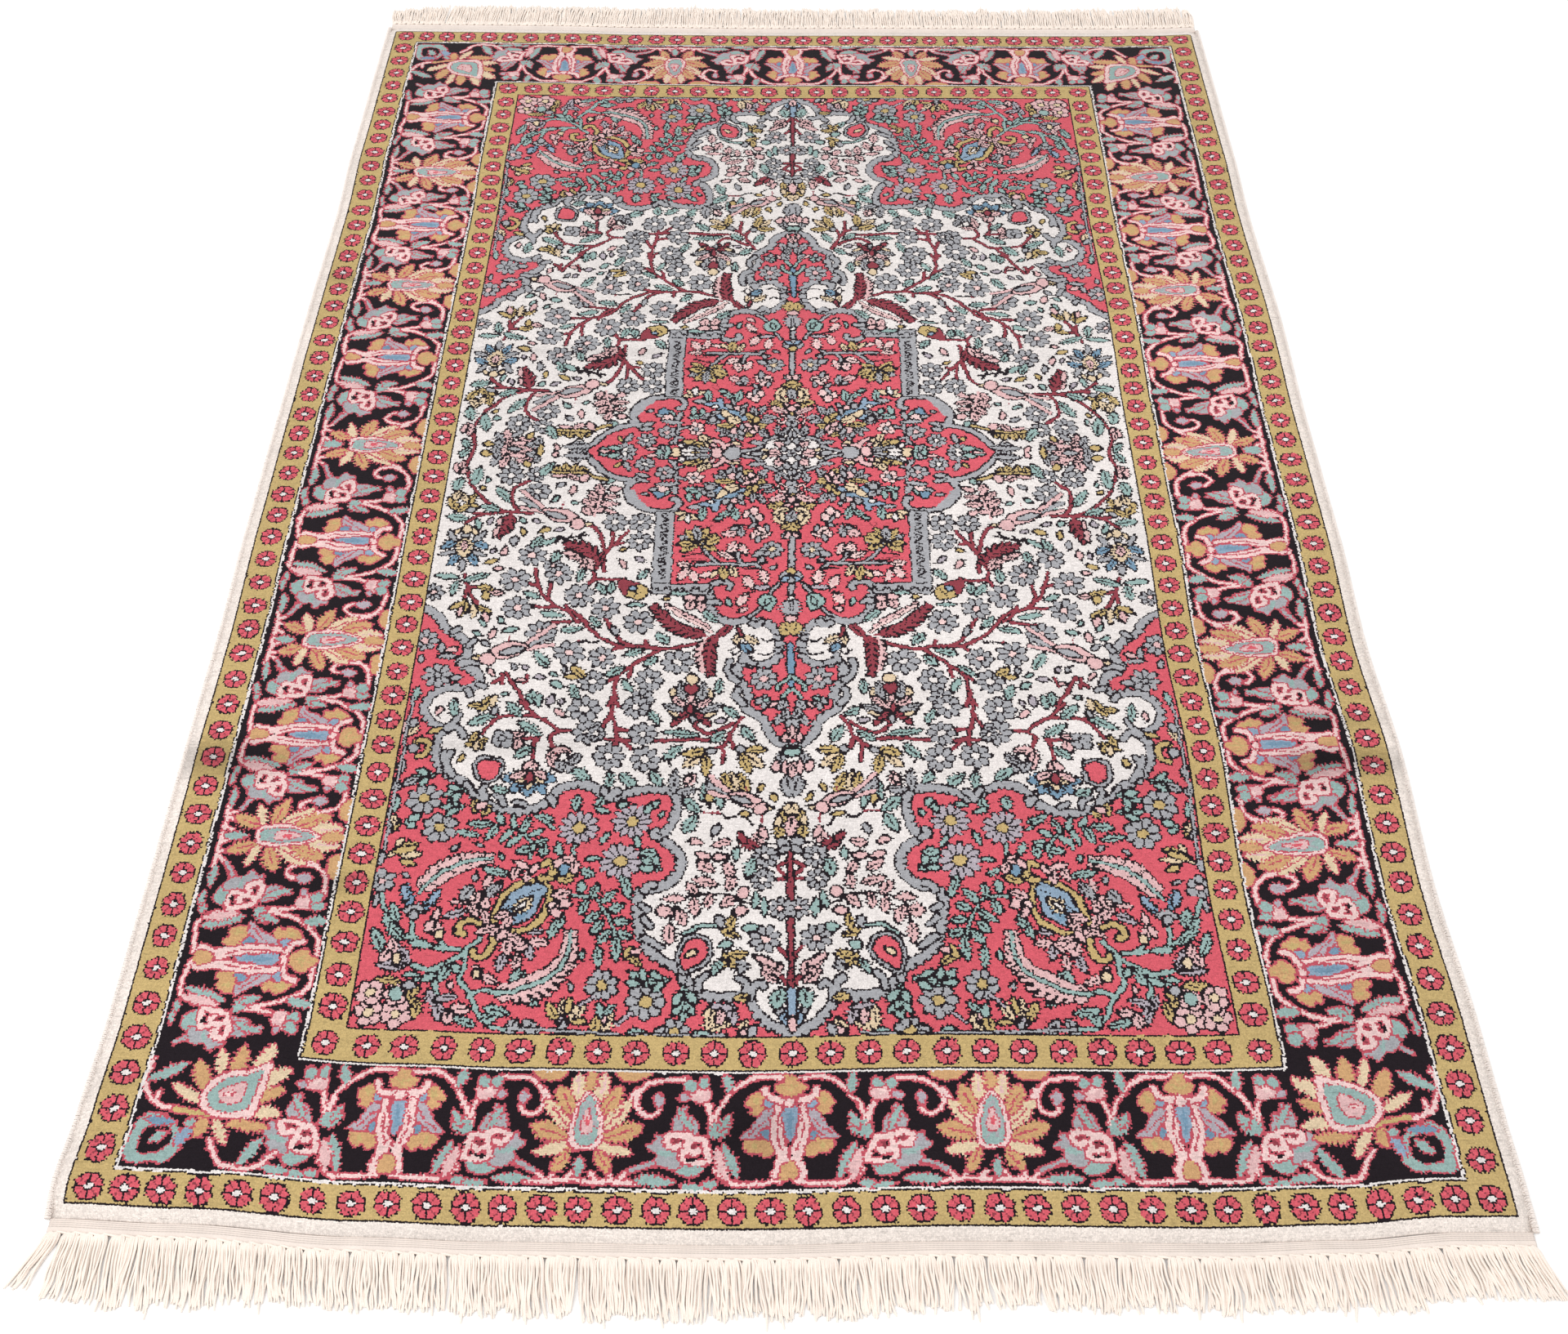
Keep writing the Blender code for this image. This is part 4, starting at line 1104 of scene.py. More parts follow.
# %% The great palmette
def great_palmette():
    lines(5, GOLD, [[(264, 643), (250, 640), (238, 633), (231, 622), (227, 608), (229, 596), (236, 584),
        (224, 580)], [(238, 586), (252, 588), (264, 596), (272, 606), (277, 622), (277, 636)]])
    shape([(262, 634), (250, 630), (240, 622), (236, 608), (232, 596), (238, 588), (250, 592),
        (262, 600), (268, 612), (272, 620), (262, 622)], BLUE)
    shape([(252, 630), (246, 618), (250, 606), (258, 618)], SKY, None)
    leaves(CREAM, [(251, 612, 45, 22, 12)])
    leaves(IVORY, [(252, 613, 45, 12, 4)])
    lines(1, BLACK, [[(246, 610), (254, 616)], [(236, 594), (246, 600), (244, 606)],
        [(262, 612), (268, 620)]], edge=None)
    leaves(PINK, [(264, 632, 60, 18, 8), (270, 624, 20, 14, 8), (275, 642, 100, 16, 8),
        (286, 626, 110, 26, 7), (298, 618, 120, 18, 8), (283, 640, 30, 20, 7), (256, 648, 160, 20, 7),
        (250, 656, 20, 14, 9), (262, 658, 100, 16, 10), (252, 672, 80, 16, 7), (234, 652, -5, 16, 9),
        (288, 610, 110, 18, 7), (296, 608, 60, 14, 6), (268, 645, 60, 14, 6), (287, 590, 85, 18, 6),
        (311, 611, 10, 18, 5), (212, 610, -20, 12, 9), (216, 600, 20, 18, 8), (222, 614, 60, 14, 7),
        (250, 580, 90, 16, 8), (262, 577, 70, 16, 7), (244, 572, 60, 12, 6), (257, 568, -20, 16, 6),
        (220, 620, 120, 12, 6)])
    leaves(BLUSH, [(224, 612, 30, 9, 4), (300, 606, 60, 9, 5)])
    leaves(GREY, [(306, 602, 60, 16, 10), (282, 596, 60, 18, 7)])
    lines(5, GOLD, [[(277, 650), (276, 658), (282, 668), (290, 669), (293, 663)],
        [(290, 634), (300, 631), (308, 636), (309, 644), (303, 646)], [(228, 584), (226, 572),
        (230, 565), (236, 568)]])
    leaves(GOLD, [(212, 583, 20, 18, 9), (232, 584, 0, 16, 6)])
    leaves(SKY, [(215, 573, 90, 12, 10)])
    leaves(PINK, [(206, 570, 100, 14, 7), (214, 562, 0, 16, 7), (222, 566, 60, 10, 6)])
    # loose pink flowers
    leaves(PINK, [(308, 730, 90, 14, 9), (298, 722, 0, 16, 9), (362, 672, 100, 14, 7),
        (372, 670, 60, 14, 9), (367, 660, 110, 16, 8), (276, 690, -20, 20, 8), (285, 684, -60, 14, 7),
        (330, 640, -60, 20, 9), (331, 626, 80, 14, 5), (336, 638, 70, 14, 6)])
    leaves(CREAM, [(286, 686, 60, 9, 8), (326, 647, 60, 9, 8), (362, 673, 90, 12, 6)])
    # roses of the outer corner
    blossoms(PINK, CREAM, [(355, 728, 14, 20), (379, 728, 13, 0), (380, 708, 13, 30)], petals=5,
        depth=.25, core=.3)
    blossom(358, 708, 11, PINK, TEAL, 5, core=.55)
    leaves(GOLD, [(337, 722, 80, 20, 7), (343, 709, 100, 18, 7), (365, 695, -5, 24, 8),
        (340, 705, 70, 10, 5)])
    leaves(GREY, [(346, 700, 0, 10, 8)])
    leaves(CREAM, [(366, 561, 5, 22, 6)])
    leaves(GOLD, [(372, 556, 20, 22, 6), (366, 570, -20, 14, 6)])

# %% [markdown]
# ## The field put together
# The order matters, because what is drawn later covers what came before. Each step is tried once
# on empty paper, which shows how much of the quarter it takes.

# %% Field
FIELD_STEPS = (grounds, ribbons, pockets, medallion_heart, medallion_corner, medallion_end, branches,
               sprays, little_tree, meadow, ivory_flowers, edge_flowers, birds, side_corner,
               spandrel, field_end, corner_tree, great_palmette)


def field():
    for draw in FIELD_STEPS:
        draw()


for draw in FIELD_STEPS:
    try_out(draw)

# %% [markdown]
# ## Bands of the border
# A broad dark border runs round the field between two narrow gold guards, each with an ivory and a
# black line beside it. They could be frames of four strips each, but the mitres would have to be
# worked out. Here every band is a whole rectangle laid over the one before, like sheets of paper
# in a pile, and the field in the middle is left alone.

# %% Bands of the border
FIELD_HALF_WIDTH, FIELD_HALF_LENGTH = 394.5, 743.0
OUTER_BANDS = ((598, 916, BLACK), (596.1, 914.2, GOLD), (563.7, 886.3, BLACK), (562.2, 884.8, IVORY))
BROAD_BAND = (560.3, 882.9, BLACK)
INNER_BANDS = ((432.5, 778.9, IVORY), (430.7, 777.1, BLACK), (428.9, 775.3, GOLD), (396.6, 744.4, BLACK))


def lay_bands(bands, kept=(FIELD_HALF_WIDTH, FIELD_HALF_LENGTH)):
    """Rectangles of yarn, each over the one before, with what lies inside the kept one untouched."""
    across, along = square_u + (knot_u - square_u) * 0.35, square_v + (knot_v - square_v) * 0.35
    free = (across > kept[0]) | (along > kept[1])
    for half_width, half_length, yarn in bands:
        quarter[free & (across < half_width) & (along < half_length)] = yarn


print("bands from the edge inwards:", len(OUTER_BANDS) + 1 + len(INNER_BANDS))

# %% [markdown]
# ## The lily
# On the dark ground a vine carries two flowers by turns. The first is a lily of blue and orange
# petals with a pale calyx. Everything in the border is outlined in rose instead of black, which
# makes it glow on the dark ground. A motif is drawn once about its own middle line, and the pen
# puts it where it is wanted. Its two halves are one loop over the sides.

# %% Lily
def lily():
    for m in (1, -1):
        shape([(m * 16, 21), (m * 22, 15), (m * 30, 17), (m * 36, 23), (m * 38, 28), (m * 33, 31),
            (m * 35, 35), (m * 28, 37), (m * 18, 34)], ORANGE, ROSE)
        shape([(m * 12, 58), (m * 20, 56), (m * 30, 58), (m * 37, 61), (m * 36, 67), (m * 31, 72),
            (m * 25, 70), (m * 20, 74), (m * 14, 71)], ORANGE, ROSE)
        shape([(m * 12, 29), (m * 20, 32), (m * 27, 40), (m * 33, 50), (m * 41, 57), (m * 31, 58),
            (m * 22, 56), (m * 13, 56)], LILAC, ROSE)
        lines(0.1, ROSE, [[(m * 14, 36), (m * 24, 46), (m * 34, 55)],
            [(m * 14, 44), (m * 22, 51), (m * 28, 56)]], ROSE, 0.75)
        leaf(m * 19, 27, 90, 9, 8, BLUE, ROSE)
        leaf(m * 19, 55, 90, 9, 8, SKY, ROSE)
        leaf(m * 29, 65, 90, 8, 4, GOLD, None)
        leaf(m * 29, 24, 90, 8, 5, GOLD, None)
        lines(4.6, BLUSH, [[(m * 11, 30), (m * 13, 44), (m * 13, 57), (m * 10, 68), (m * 8, 78),
            (m * 12, 90)]], ROSE)
        lines(3.0, BLUSH, [[(m * 6, 33), (m * 8, 48), (m * 7, 60), (m * 3, 70)]], ROSE)
        lines(5.6, BLUSH, [[(m * 4, 72), (m * 5, 80), (m * 10, 92)]], None)
        lines(5.0, BLUSH, [[(m * 22, 14), (m * 19, 21), (m * 12, 24), (0, 26)]], ROSE)
    shape([(-5, 31), (5, 31), (6, 40), (4, 54), (0, 62), (-4, 54), (-6, 40)], BLUE, ROSE)
    leaf(0, 45, 90, 24, 5, SKY, None)
    lines(0.1, ROSE, [[(0, 66), (0, 80)]], ROSE, 0.75)
    shape([(-4, 2), (4, 2), (6, 7), (12, 10), (12, 15), (5, 20), (-5, 20), (-12, 15), (-12, 10),
        (-6, 7)], ORANGE, ROSE)
    lines(0.1, GOLD, [[(-7, 11), (0, 15), (7, 11)], [(0, 5), (0, 16)]], GOLD, 0.8)
    leaf(0, 26, 0, 10, 7, BLUSH, ROSE)
    shape([(-3, 80), (3, 80), (7, 87), (6, 94), (-6, 94), (-7, 87)], ORANGE, ROSE)

# %% [markdown]
# ## The sun
# The second flower opens like a sun, with cream and orange rays about a teal heart.

# %% Sun
def sun():
    for m in (1, -1):
        side = 90 - m * 90
        leaf(m * 17, 79, 90 - m * 28, 24, 11, ORANGE, ROSE, vein=ROSE)
        leaf(m * 26, 69, side + m * 14, 30, 10, CREAM, ROSE)
        leaf(m * 31, 54, side - m * 18, 34, 15, ORANGE, ROSE, vein=ROSE)
        leaf(m * 25, 39, side - m * 48, 36, 12, CREAM, ROSE, vein=ROSE)
        leaf(m * 20, 26, side - m * 62, 30, 14, ORANGE, ROSE, vein=ROSE)
        leaf(m * 10, 14, 90 + m * 5, 26, 11, CREAM, ROSE, vein=PINK)
        shape([(m * 22, -1), (m * 28, 6), (m * 36, 7), (m * 46, 5), (m * 50, -1)], ORANGE, ROSE)
    leaf(0, 8, 90, 20, 10, ORANGE, ROSE)
    leaf(2, 86, 90, 18, 7, TEAL, ROSE)
    shape([(-9, 68), (9, 68), (14, 58), (13, 44), (8, 28), (0, 18), (-8, 28), (-13, 44), (-14, 58)],
        BLUSH, ROSE)
    shape([(-6, 65), (6, 65), (9.5, 56), (9, 44), (6, 31), (0, 22), (-6, 31), (-9, 44), (-9.5, 56)],
        TEAL, ROSE, 1.2)
    lines(0.1, GREY, [[(-5, 60), (0, 54), (5, 60)], [(-7, 50), (-4, 36), (0, 28), (4, 36), (7, 50)]],
        GREY, 1.1)
    shape([(-4.5, 53), (4.5, 53), (4, 44), (0, 34), (-4, 44)], PINK, ROSE, 1.2)
    leaf(0, 45, 90, 9, 3.4, RED, None)

# %% [markdown]
# ## Garland
# Between the two flowers the vine coils about an acanthus leaf. The real border squeezes or
# stretches this stretch until a whole number of flowers fits the side, and the pen does the same.

# %% Garland
def garland(last=173, full=True):
    """The acanthus and its vines between a lily at zero and a sun at `last`."""
    lines(3.2, BLUSH, [[(8, 3), (30, 3), (42, 9), (54, 20), (62, 34), (67, 54)],
        [(67, 54), (68, 38), (73, 25), (86, 21), (95, 21)], [(6, 96), (28, 98), (46, 98), (56, 93),
        (62, 86)]], ROSE)
    if full:
        lines(3.2, BLUSH, [[(90, 5), (112, 6), (126, 12), (132, 24), (129, 34), (121, 39), (113, 35),
            (112, 28)], [(132, 16), (137, 24)], [(112, 82), (126, 86), (135, 90), (141, 97)],
            [(126, 98), (150, 97), (last, 97)], [(146, 97), (150, 88)], [(160, 96), (165, 90)]], ROSE)
        leaf(113, 24, 90, 12, 8, LILAC, ROSE)
        leaf(112, 96, 0, 34, 8, TEAL, ROSE)
        lines(3.4, GREY, [[(112, 80), (122, 84), (132, 88)]], ROSE)
    else:
        lines(3.4, GREY, [[(104, 84), (112, 92)]], ROSE)
    leaf(49, 79, -66, 34, 8, TEAL, ROSE)
    leaf(57, 82, -72, 30, 8, PINK, ROSE)
    shape([(70, 78), (74, 88), (84, 92), (94, 89), (98, 82), (84, 80)], TEAL, ROSE)
    shape([(92, 84), (104, 84), (112, 78), (110, 72), (120, 66), (114, 62), (112, 56), (104, 60),
        (98, 66), (92, 74)], GREY, ROSE)
    leaf(104, 72, -10, 18, 5, TEAL, None)
    leaf(107, 63, -40, 14, 4, LILAC, None)
    leaf(60, 50, 25, 22, 14, TEAL, ROSE)
    leaf(55, 44, 60, 16, 6, TEAL, ROSE)
    shape([(78, 54), (88, 58), (98, 52), (100, 44), (94, 34), (90, 30), (88, 38), (82, 42)], GREY, ROSE)
    leaf(90, 42, -60, 26, 5, TEAL, ROSE)
    lines(4.8, BLUSH, [[(67, 78), (70, 66), (74, 59), (84, 60), (86, 67), (80, 71), (76, 69)],
        [(72, 79), (82, 79), (90, 76), (88, 70)], [(84, 57), (94, 55), (104, 58), (99, 66), (92, 64)]],
        ROSE)
    leaf(80, 66, 45, 7, 4, MAROON, None)
    leaf(96, 60, 10, 7, 4, MAROON, None)
    leaf(82, 77, 0, 9, 4, BLACK, None)
    shape([(70, 14), (71, 24), (82, 25), (90, 20), (88, 13), (78, 11)], PINK, ROSE)
    leaf(92, 21, 0, 9, 7, LILAC, ROSE)
    leaf(75, 9, 70, 11, 9, TEAL, ROSE)
    leaf(87, 10, 110, 11, 10, TEAL, ROSE)
    leaf(79, 17, 20, 8, 5, BLUSH, None)
    leaf(54, 8, 100, 18, 8, TEAL, ROSE)
    leaf(66, 98, 0, 14, 7, TEAL, ROSE)
    leaf(80, 100, 0, 20, 6, TEAL, ROSE)

# %% [markdown]
# ## The border's corner
# The corner has a flower of its own on the diagonal, with no fold in the vine.

# %% Corner
def corner():
    lines(3.2, BLUSH, [[(432, 864), (444, 876), (460, 879), (474, 877), (484, 866), (492, 856)],
        [(524, 829), (542, 827), (554, 816), (560, 800), (557, 784)], [(546, 824), (545, 815)]], ROSE)
    for u, v, a, l, w, c in ((452, 828, 172, 34, 11, CREAM), (452, 813, 200, 34, 11, ORANGE),
        (449, 797, 215, 34, 13, CREAM), (462, 781, 245, 32, 12, CREAM), (483, 784, 268, 30, 13, ORANGE),
        (498, 785, 285, 28, 9, CREAM), (512, 798, 298, 32, 13, ORANGE), (520, 815, 332, 36, 9, CREAM),
        (461, 842, 178, 38, 10, ORANGE), (484, 849, 122, 28, 9, CREAM), (502, 845, 80, 18, 13, ORANGE)):
        leaf(u, v, a, l, w, c, ROSE)
    lines(4, GOLD, [[(490, 835), (510, 832), (528, 829)]], ROSE)
    shape([(460, 831), (480, 836), (500, 832), (508, 820), (502, 804), (488, 795), (470, 790),
        (455, 785), (455, 802)], BLUSH, ROSE)
    shape([(466, 827), (484, 831), (498, 826), (501, 813), (489, 801), (470, 795), (461, 793),
        (463, 810)], TEAL, ROSE, 1.2)
    shape([(474, 821), (488, 823), (492, 814), (481, 806), (472, 804)], PINK, ROSE, 1.2)
    leaf(484, 815, 20, 9, 3, BLUSH, ROSE, 1.0)
    shape([(514, 860), (520, 874), (534, 877), (556, 877), (559, 860), (556, 842), (546, 834),
        (528, 838)], TEAL, ROSE)
    shape([(524, 858), (530, 868), (548, 868), (549, 850), (538, 844), (526, 848)], BLACK, ROSE, 1.2)
    leaf(535, 855, 40, 16, 8, TEAL, ROSE)
    leaf(537, 840, 0, 26, 7, SKY, ROSE)
    leaf(514, 853, 60, 20, 10, BLUE, ROSE)
    leaf(512, 842, 90, 9, 8, TEAL, ROSE)
    leaf(453, 864, 60, 30, 9, TEAL, ROSE)
    leaf(428, 877, 0, 24, 7, TEAL, ROSE)
    leaf(543, 796, 30, 34, 9, TEAL, ROSE)

# %% [markdown]
# ## The border laid out
# Lilies and suns alternate along the ends and the sides. Along the sides the pen is turned a
# quarter, so a motif's width runs along the rug. The guards are laid again at the end, which trims
# whatever grew over them.

# %% Border laid out
LILIES_BELOW, SUN_BELOW = (0, 336), 173
SUNS_BESIDE, LILIES_BESIDE = (0, 300, 548), (156, 428, 683)


def border():
    lay_bands(OUTER_BANDS + (BROAD_BAND,) + INNER_BANDS)
    for start, stretch, full in ((0, 1.0, True), (336, -0.94, True), (336, 0.94, False)):
        hold_pen((start, 779.5), (stretch, 0), (0, 1))
        garland(full=full)
    for start, reach, full in ((156, -156, True), (156, 144, True), (428, -128, True), (428, 120, True),
        (683, -135, True), (683, 132, False)):
        hold_pen((433.5, start), (0, reach / 173), (1.21, 0))
        garland(full=full)
    for u in LILIES_BELOW:
        hold_pen((u, 779.5))
        lily()
    hold_pen((SUN_BELOW, 779.5))
    sun()
    for v in LILIES_BESIDE:
        hold_pen((433.5, v), (0, 0.92), (1.21, 0))
        lily()
    for v in SUNS_BESIDE:
        hold_pen((433.5, v), (0, 0.88), (1.21, 0))
        sun()
    hold_pen()
    corner()
    lay_bands(OUTER_BANDS, BROAD_BAND[:2])
    lay_bands(INNER_BANDS)


for draw in (lily, sun, garland, corner, border):
    try_out(draw)

# %% [markdown]
# ## The whole chart
# The weaver works the quarter four times, mirrored about both middle lines, and no two come out
# the same to the knot. The rosettes of the guard borders are counted along each edge instead, and
# fall where the weaver had room for them.

# %% Small leaves that fill the gaps
FREE_ROOM = 3.6                           # plain ground that a leaf needs all round, in mm
FILLING = {RED: (TEAL, GREY, TEAL, PINK, GREY, CREAM), IVORY: (TEAL, GREY, PINK, TEAL, GOLD, LILAC)}


def find_gaps():
    """Leaves for the gaps that the drawn field leaves: a length, a width and how often to try."""
    chance = np.random.default_rng(29)
    found = []
    for length, width, tries in ((13, 6.2, 2500), (10, 5, 5000), (7, 4, 7000)):
        for u, v, angle, pick in chance.uniform(0, 1, (tries, 4)):
            u, v, turn = u * 388, v * 738, angle * math.pi * 2
            row, column = int(v / KNOT_V), int(u / KNOT_U)
            ground = int(quarter[row, column])
            if ground not in FILLING:
                continue
            reach = length * 0.8
            knots, across, along = window(u - reach, u + reach, v - reach, v + reach)
            run = (across - u) * math.cos(turn) + (along - v) * math.sin(turn)
            side = (along - v) * math.cos(turn) - (across - u) * math.sin(turn)
            room = np.abs(run) < length * 0.5 + FREE_ROOM
            room &= np.abs(side) < width * 0.5 + FREE_ROOM - np.abs(run) * 0.16
            if (knots[room] != ground).any():
                continue
            yarns = FILLING[ground]
            found.append((u, v, math.degrees(turn), length, width, yarns[int(pick * len(yarns))]))
            leaf(*found[-1])
    return found


def fill_gaps():
    for u, v, angle, length, width, yarn in gap_leaves:
        turn, half = math.radians(angle), length * 0.5
        base = (u - math.cos(turn) * half, v - math.sin(turn) * half)
        stem = (u - math.cos(turn + 0.3) * (half + 4), v - math.sin(turn + 0.3) * (half + 4))
        lines(0.1, BLACK, [[base, stem]], rim=0.8)
        leaf(u, v, angle, length, width, yarn)


fresh_quarter(0)
knot_u[:], knot_v[:] = square_u, square_v
hold_pen()
field()
gap_leaves = find_gaps()
print("small leaves in the gaps:", len(gap_leaves))


# %% [markdown]
# ## Four workings of the same quarter
# A weaver follows one drawing four times over and never counts it quite alike, so the quarter is
# drawn afresh for each corner of the rug with its own small shifts. Mirrored and joined, the four
# make the whole chart, one number for every knot.

# %% Four quarters
def work_quarter(seed):
    fresh_quarter(seed)
    hold_pen()
    field()
    fill_gaps()
    border()
    return quarter.copy()


near_left, near_right, far_left, far_right = (work_quarter(seed) for seed in (11, 12, 13, 14))
chart = np.vstack([np.hstack([near_left[::-1, ::-1], near_right[::-1]]),
                   np.hstack([far_left[:, ::-1], far_right])])
print("the chart has", chart.shape[1], "x", chart.shape[0], "knots in", len(np.unique(chart)), "yarns")

# %% [markdown]
# ## The rosettes of the guard borders
# Two narrow gold bands run round the rug, and each carries a row of eight-petalled rosettes. The
# motif is a small one, so a quarter of it is charted and mirrored. It is laid along each
# side at an even pitch, a knot to and fro, as rosettes counted out by hand are.

# %% Rosettes of the guard borders
ROSETTE_QUARTER = (
    "....kkkk",
    "..kkrrrk",
    "..krrrrk",
    ".krmrrrk",
    "krrrmrrk",
    "krrrrmkk",
    "krrrrkww",
    "kkkkkwww",
)
YARN_OF = {".": 0, "k": BLACK, "r": RED, "m": MAROON, "w": IVORY}
half = np.array([[YARN_OF[sign] for sign in row] for row in ROSETTE_QUARTER], np.uint8)
half = np.hstack([half, half[:, -2::-1]])
rosette = np.vstack([half, half[-2::-1]])


counting = np.random.default_rng(17)


def stamp(u, v):
    """One rosette about u, v, miscounted a little; here v is below zero towards the near end."""
    column = int(round(u / KNOT_U + columns_across - 0.5)) - 8
    row = int(round(v / KNOT_V + rows_along - 0.5)) - 8
    down, across = np.mgrid[-8:9, -8:9] * counting.uniform(0.9, 1.09, (2, 1, 1))
    down = down + counting.uniform(-0.12, 0.12, down.shape) + counting.normal(0, 0.2, (1, 17))
    across = across + counting.uniform(-0.12, 0.12, down.shape) + counting.normal(0, 0.3, (17, 1))
    row_on, column_on = (np.clip(np.rint(counted + 7), 0, 14).astype(int) for counted in (down, across))
    drawn = rosette[row_on, column_on]
    drawn[(np.abs(down) > 7.5) | (np.abs(across) > 7.5)] = 0
    knots = chart[row:row + 17, column:column + 17]
    knots[drawn > 0] = drawn[drawn > 0]


# the middle lines of the guard bands, and how far apart the rosettes are on them, in millimetres
OUTER_U, OUTER_V, INNER_U, INNER_V = 580, 900.5, 411, 760.5
OUTER_END_PITCH, INNER_END_PITCH, INNER_SIDE_PITCH = 31.4, 34.1, 32.2
OUTER_SIDE_COUNT = 54

for side in (-1, 1):
    for end in (-1, 1):
        for k in range(18):
            stamp(side * (15.7 + OUTER_END_PITCH * k), end * OUTER_V)
        for k in range(12):
            if k or side > 0:
                stamp(side * INNER_END_PITCH * k, end * INNER_V)
        stamp(side * INNER_U, end * INNER_V)
        for k in range(23):
            stamp(side * INNER_U, end * (16 + INNER_SIDE_PITCH * k))
    for even in np.linspace(-OUTER_V, OUTER_V, OUTER_SIDE_COUNT):
        stamp(side * OUTER_U, even)
print("rosettes laid along both guard bands")

# %% [markdown]
# ## The pile
# A knotted pile is a mat of wool about seven millimetres thick. Its face shows the cut ends of the
# knots and its back shows the same knots from behind, so both carry the pattern. The mesh can be
# far coarser than the knots: each face is a block of four knots by five, and carries its own small
# piece of the chart as plain numbers on the face, with one knot more all round. A material can then
# look up any knot on it exactly, however close the camera comes.

# %% From the chart to the floor
BLOCK_COLUMNS, BLOCK_ROWS = 4, 5


def on_rug(column, row):
    """x and y of places counted in knots from the middle of the rug."""
    across = np.clip(column * KNOT_U / 1000, -GROUND_HALF_WIDTH, GROUND_HALF_WIDTH)
    along = np.clip(row * KNOT_V / 1000, -GROUND_HALF_LENGTH, GROUND_HALF_LENGTH)
    near, far = end_y("near", across), end_y("far", across)
    y = near + (far - near) * (along + GROUND_HALF_LENGTH) / (2 * GROUND_HALF_LENGTH)
    beyond = np.clip(np.abs(row) - HALF_ROWS, 0, None) / MARGIN_ROWS
    y = np.where(row < -HALF_ROWS, end_y("near", across, beyond * END_MARGIN["near"]), y)
    y = np.where(row > HALF_ROWS, end_y("far", across, beyond * END_MARGIN["far"]), y)
    left, right = side_x("left", y), side_x("right", y)
    x = left + (right - left) * (across + GROUND_HALF_WIDTH) / (2 * GROUND_HALF_WIDTH)
    beyond = np.clip(np.abs(column) - HALF_COLUMNS, 0, None) / MARGIN_COLUMNS * SIDE_MARGIN
    return x + np.sign(column) * beyond, y


# %% [markdown]
# ## One closed sheet
# The knotted ground is thin, even and closed: a face of cut tufts, a back of flat knots and a low
# wall all round. Each face of the sheet covers a block of four knots by five, small enough to
# follow the swells that folding left, large enough to keep the whole sheet light.

# %% The sheet of blocks
SIDE_DROP, END_DROP = 0.0020, 0.0045      # the outermost tufts lie lower

column_line = np.arange(-columns_across, columns_across + 1, BLOCK_COLUMNS)
row_line = np.arange(-rows_along, rows_along + 1, BLOCK_ROWS)
column_at, row_at = np.meshgrid(column_line.astype(float), row_line.astype(float))
pile_x, pile_y = on_rug(column_at, row_at)
pile_z = PILE_THICKNESS + swell(pile_y)
from_side = columns_across - np.abs(column_at)
from_end = rows_along - np.abs(row_at)
pile_z = pile_z - SIDE_DROP * (1 - rising(from_side / 9)) - END_DROP * (1 - rising((from_end + 1) / 11))
# shallow dents where feet and folding have pressed the wool
dents = np.random.default_rng(7).normal(0, 1, (24, 16))
dent_row = np.linspace(0, 23, row_line.size)
dent_column = np.linspace(0, 15, column_line.size)
dents = np.array([np.interp(dent_column, np.arange(16), row) for row in dents])
dents = np.array([np.interp(dent_row, np.arange(24), column) for column in dents.T]).T
pile_z[1:-1, 1:-1] += 0.00020 * dents[1:-1, 1:-1]

rows_of_points, columns_of_points = pile_x.shape
top = np.stack([pile_x, pile_y, pile_z], -1).reshape(-1, 3)
bottom = np.stack([pile_x, pile_y, np.zeros_like(pile_x)], -1).reshape(-1, 3)
index = np.arange(len(top)).reshape(rows_of_points, columns_of_points)
block = np.stack([index[:-1, :-1], index[:-1, 1:], index[1:, 1:], index[1:, :-1]], -1).reshape(-1, 4)
block_number = np.arange(len(block)).reshape(rows_of_points - 1, columns_of_points - 1)


def rim_of(grid):
    """The grid's border, once round, turning left."""
    return np.concatenate([grid[0, :-1], grid[:-1, -1], grid[-1, :0:-1], grid[:0:-1, 0]])


rim = rim_of(index)
after = np.roll(rim, -1)
# one ring half-way down, standing out a little, makes the edge full and round
edge_run = top[after] - top[np.roll(rim, 1)]
outward = np.stack([edge_run[:, 1], -edge_run[:, 0]], 1)
outward /= np.linalg.norm(outward, axis=1)[:, None]
belt = top[rim].copy()
belt[:, :2] += outward * 0.0006
belt[:, 2] *= 0.5
first_belt = 2 * len(top)
ring = first_belt + np.arange(len(rim))
ring_after = np.roll(ring, -1)
upper_wall = np.stack([ring, ring_after, after, rim], -1)
lower_wall = np.stack([rim + len(top), after + len(top), ring_after, ring], -1)
pile_points = np.vstack([top, bottom, belt])
pile_faces = np.vstack([block, block[:, ::-1] + len(top), upper_wall, lower_wall])

pile_mesh = bpy.data.meshes.new("pile")
pile_mesh.vertices.add(len(pile_points))
pile_mesh.vertices.foreach_set("co", pile_points.ravel())
pile_mesh.loops.add(pile_faces.size)
pile_mesh.loops.foreach_set("vertex_index", pile_faces.ravel())
pile_mesh.polygons.add(len(pile_faces))
pile_mesh.polygons.foreach_set("loop_start", np.arange(0, pile_faces.size, 4))
pile_mesh.polygons.foreach_set("use_smooth", np.ones(len(pile_faces), bool))
pile_mesh.update()
pile = bpy.data.objects.new("pile", pile_mesh)
bpy.context.scene.collection.objects.link(pile)
print("pile", len(pile_faces), "faces")

# %% [markdown]
# ## Each face carries its own knots
# A face keeps the yarn numbers of its twenty knots and of the ring of knots next to them. Six
# knots of a row are packed into one number, sixteen to the power of the place, and seven rows make
# seven numbers. The pile's material unpacks them again, so each knot keeps a crisp edge.

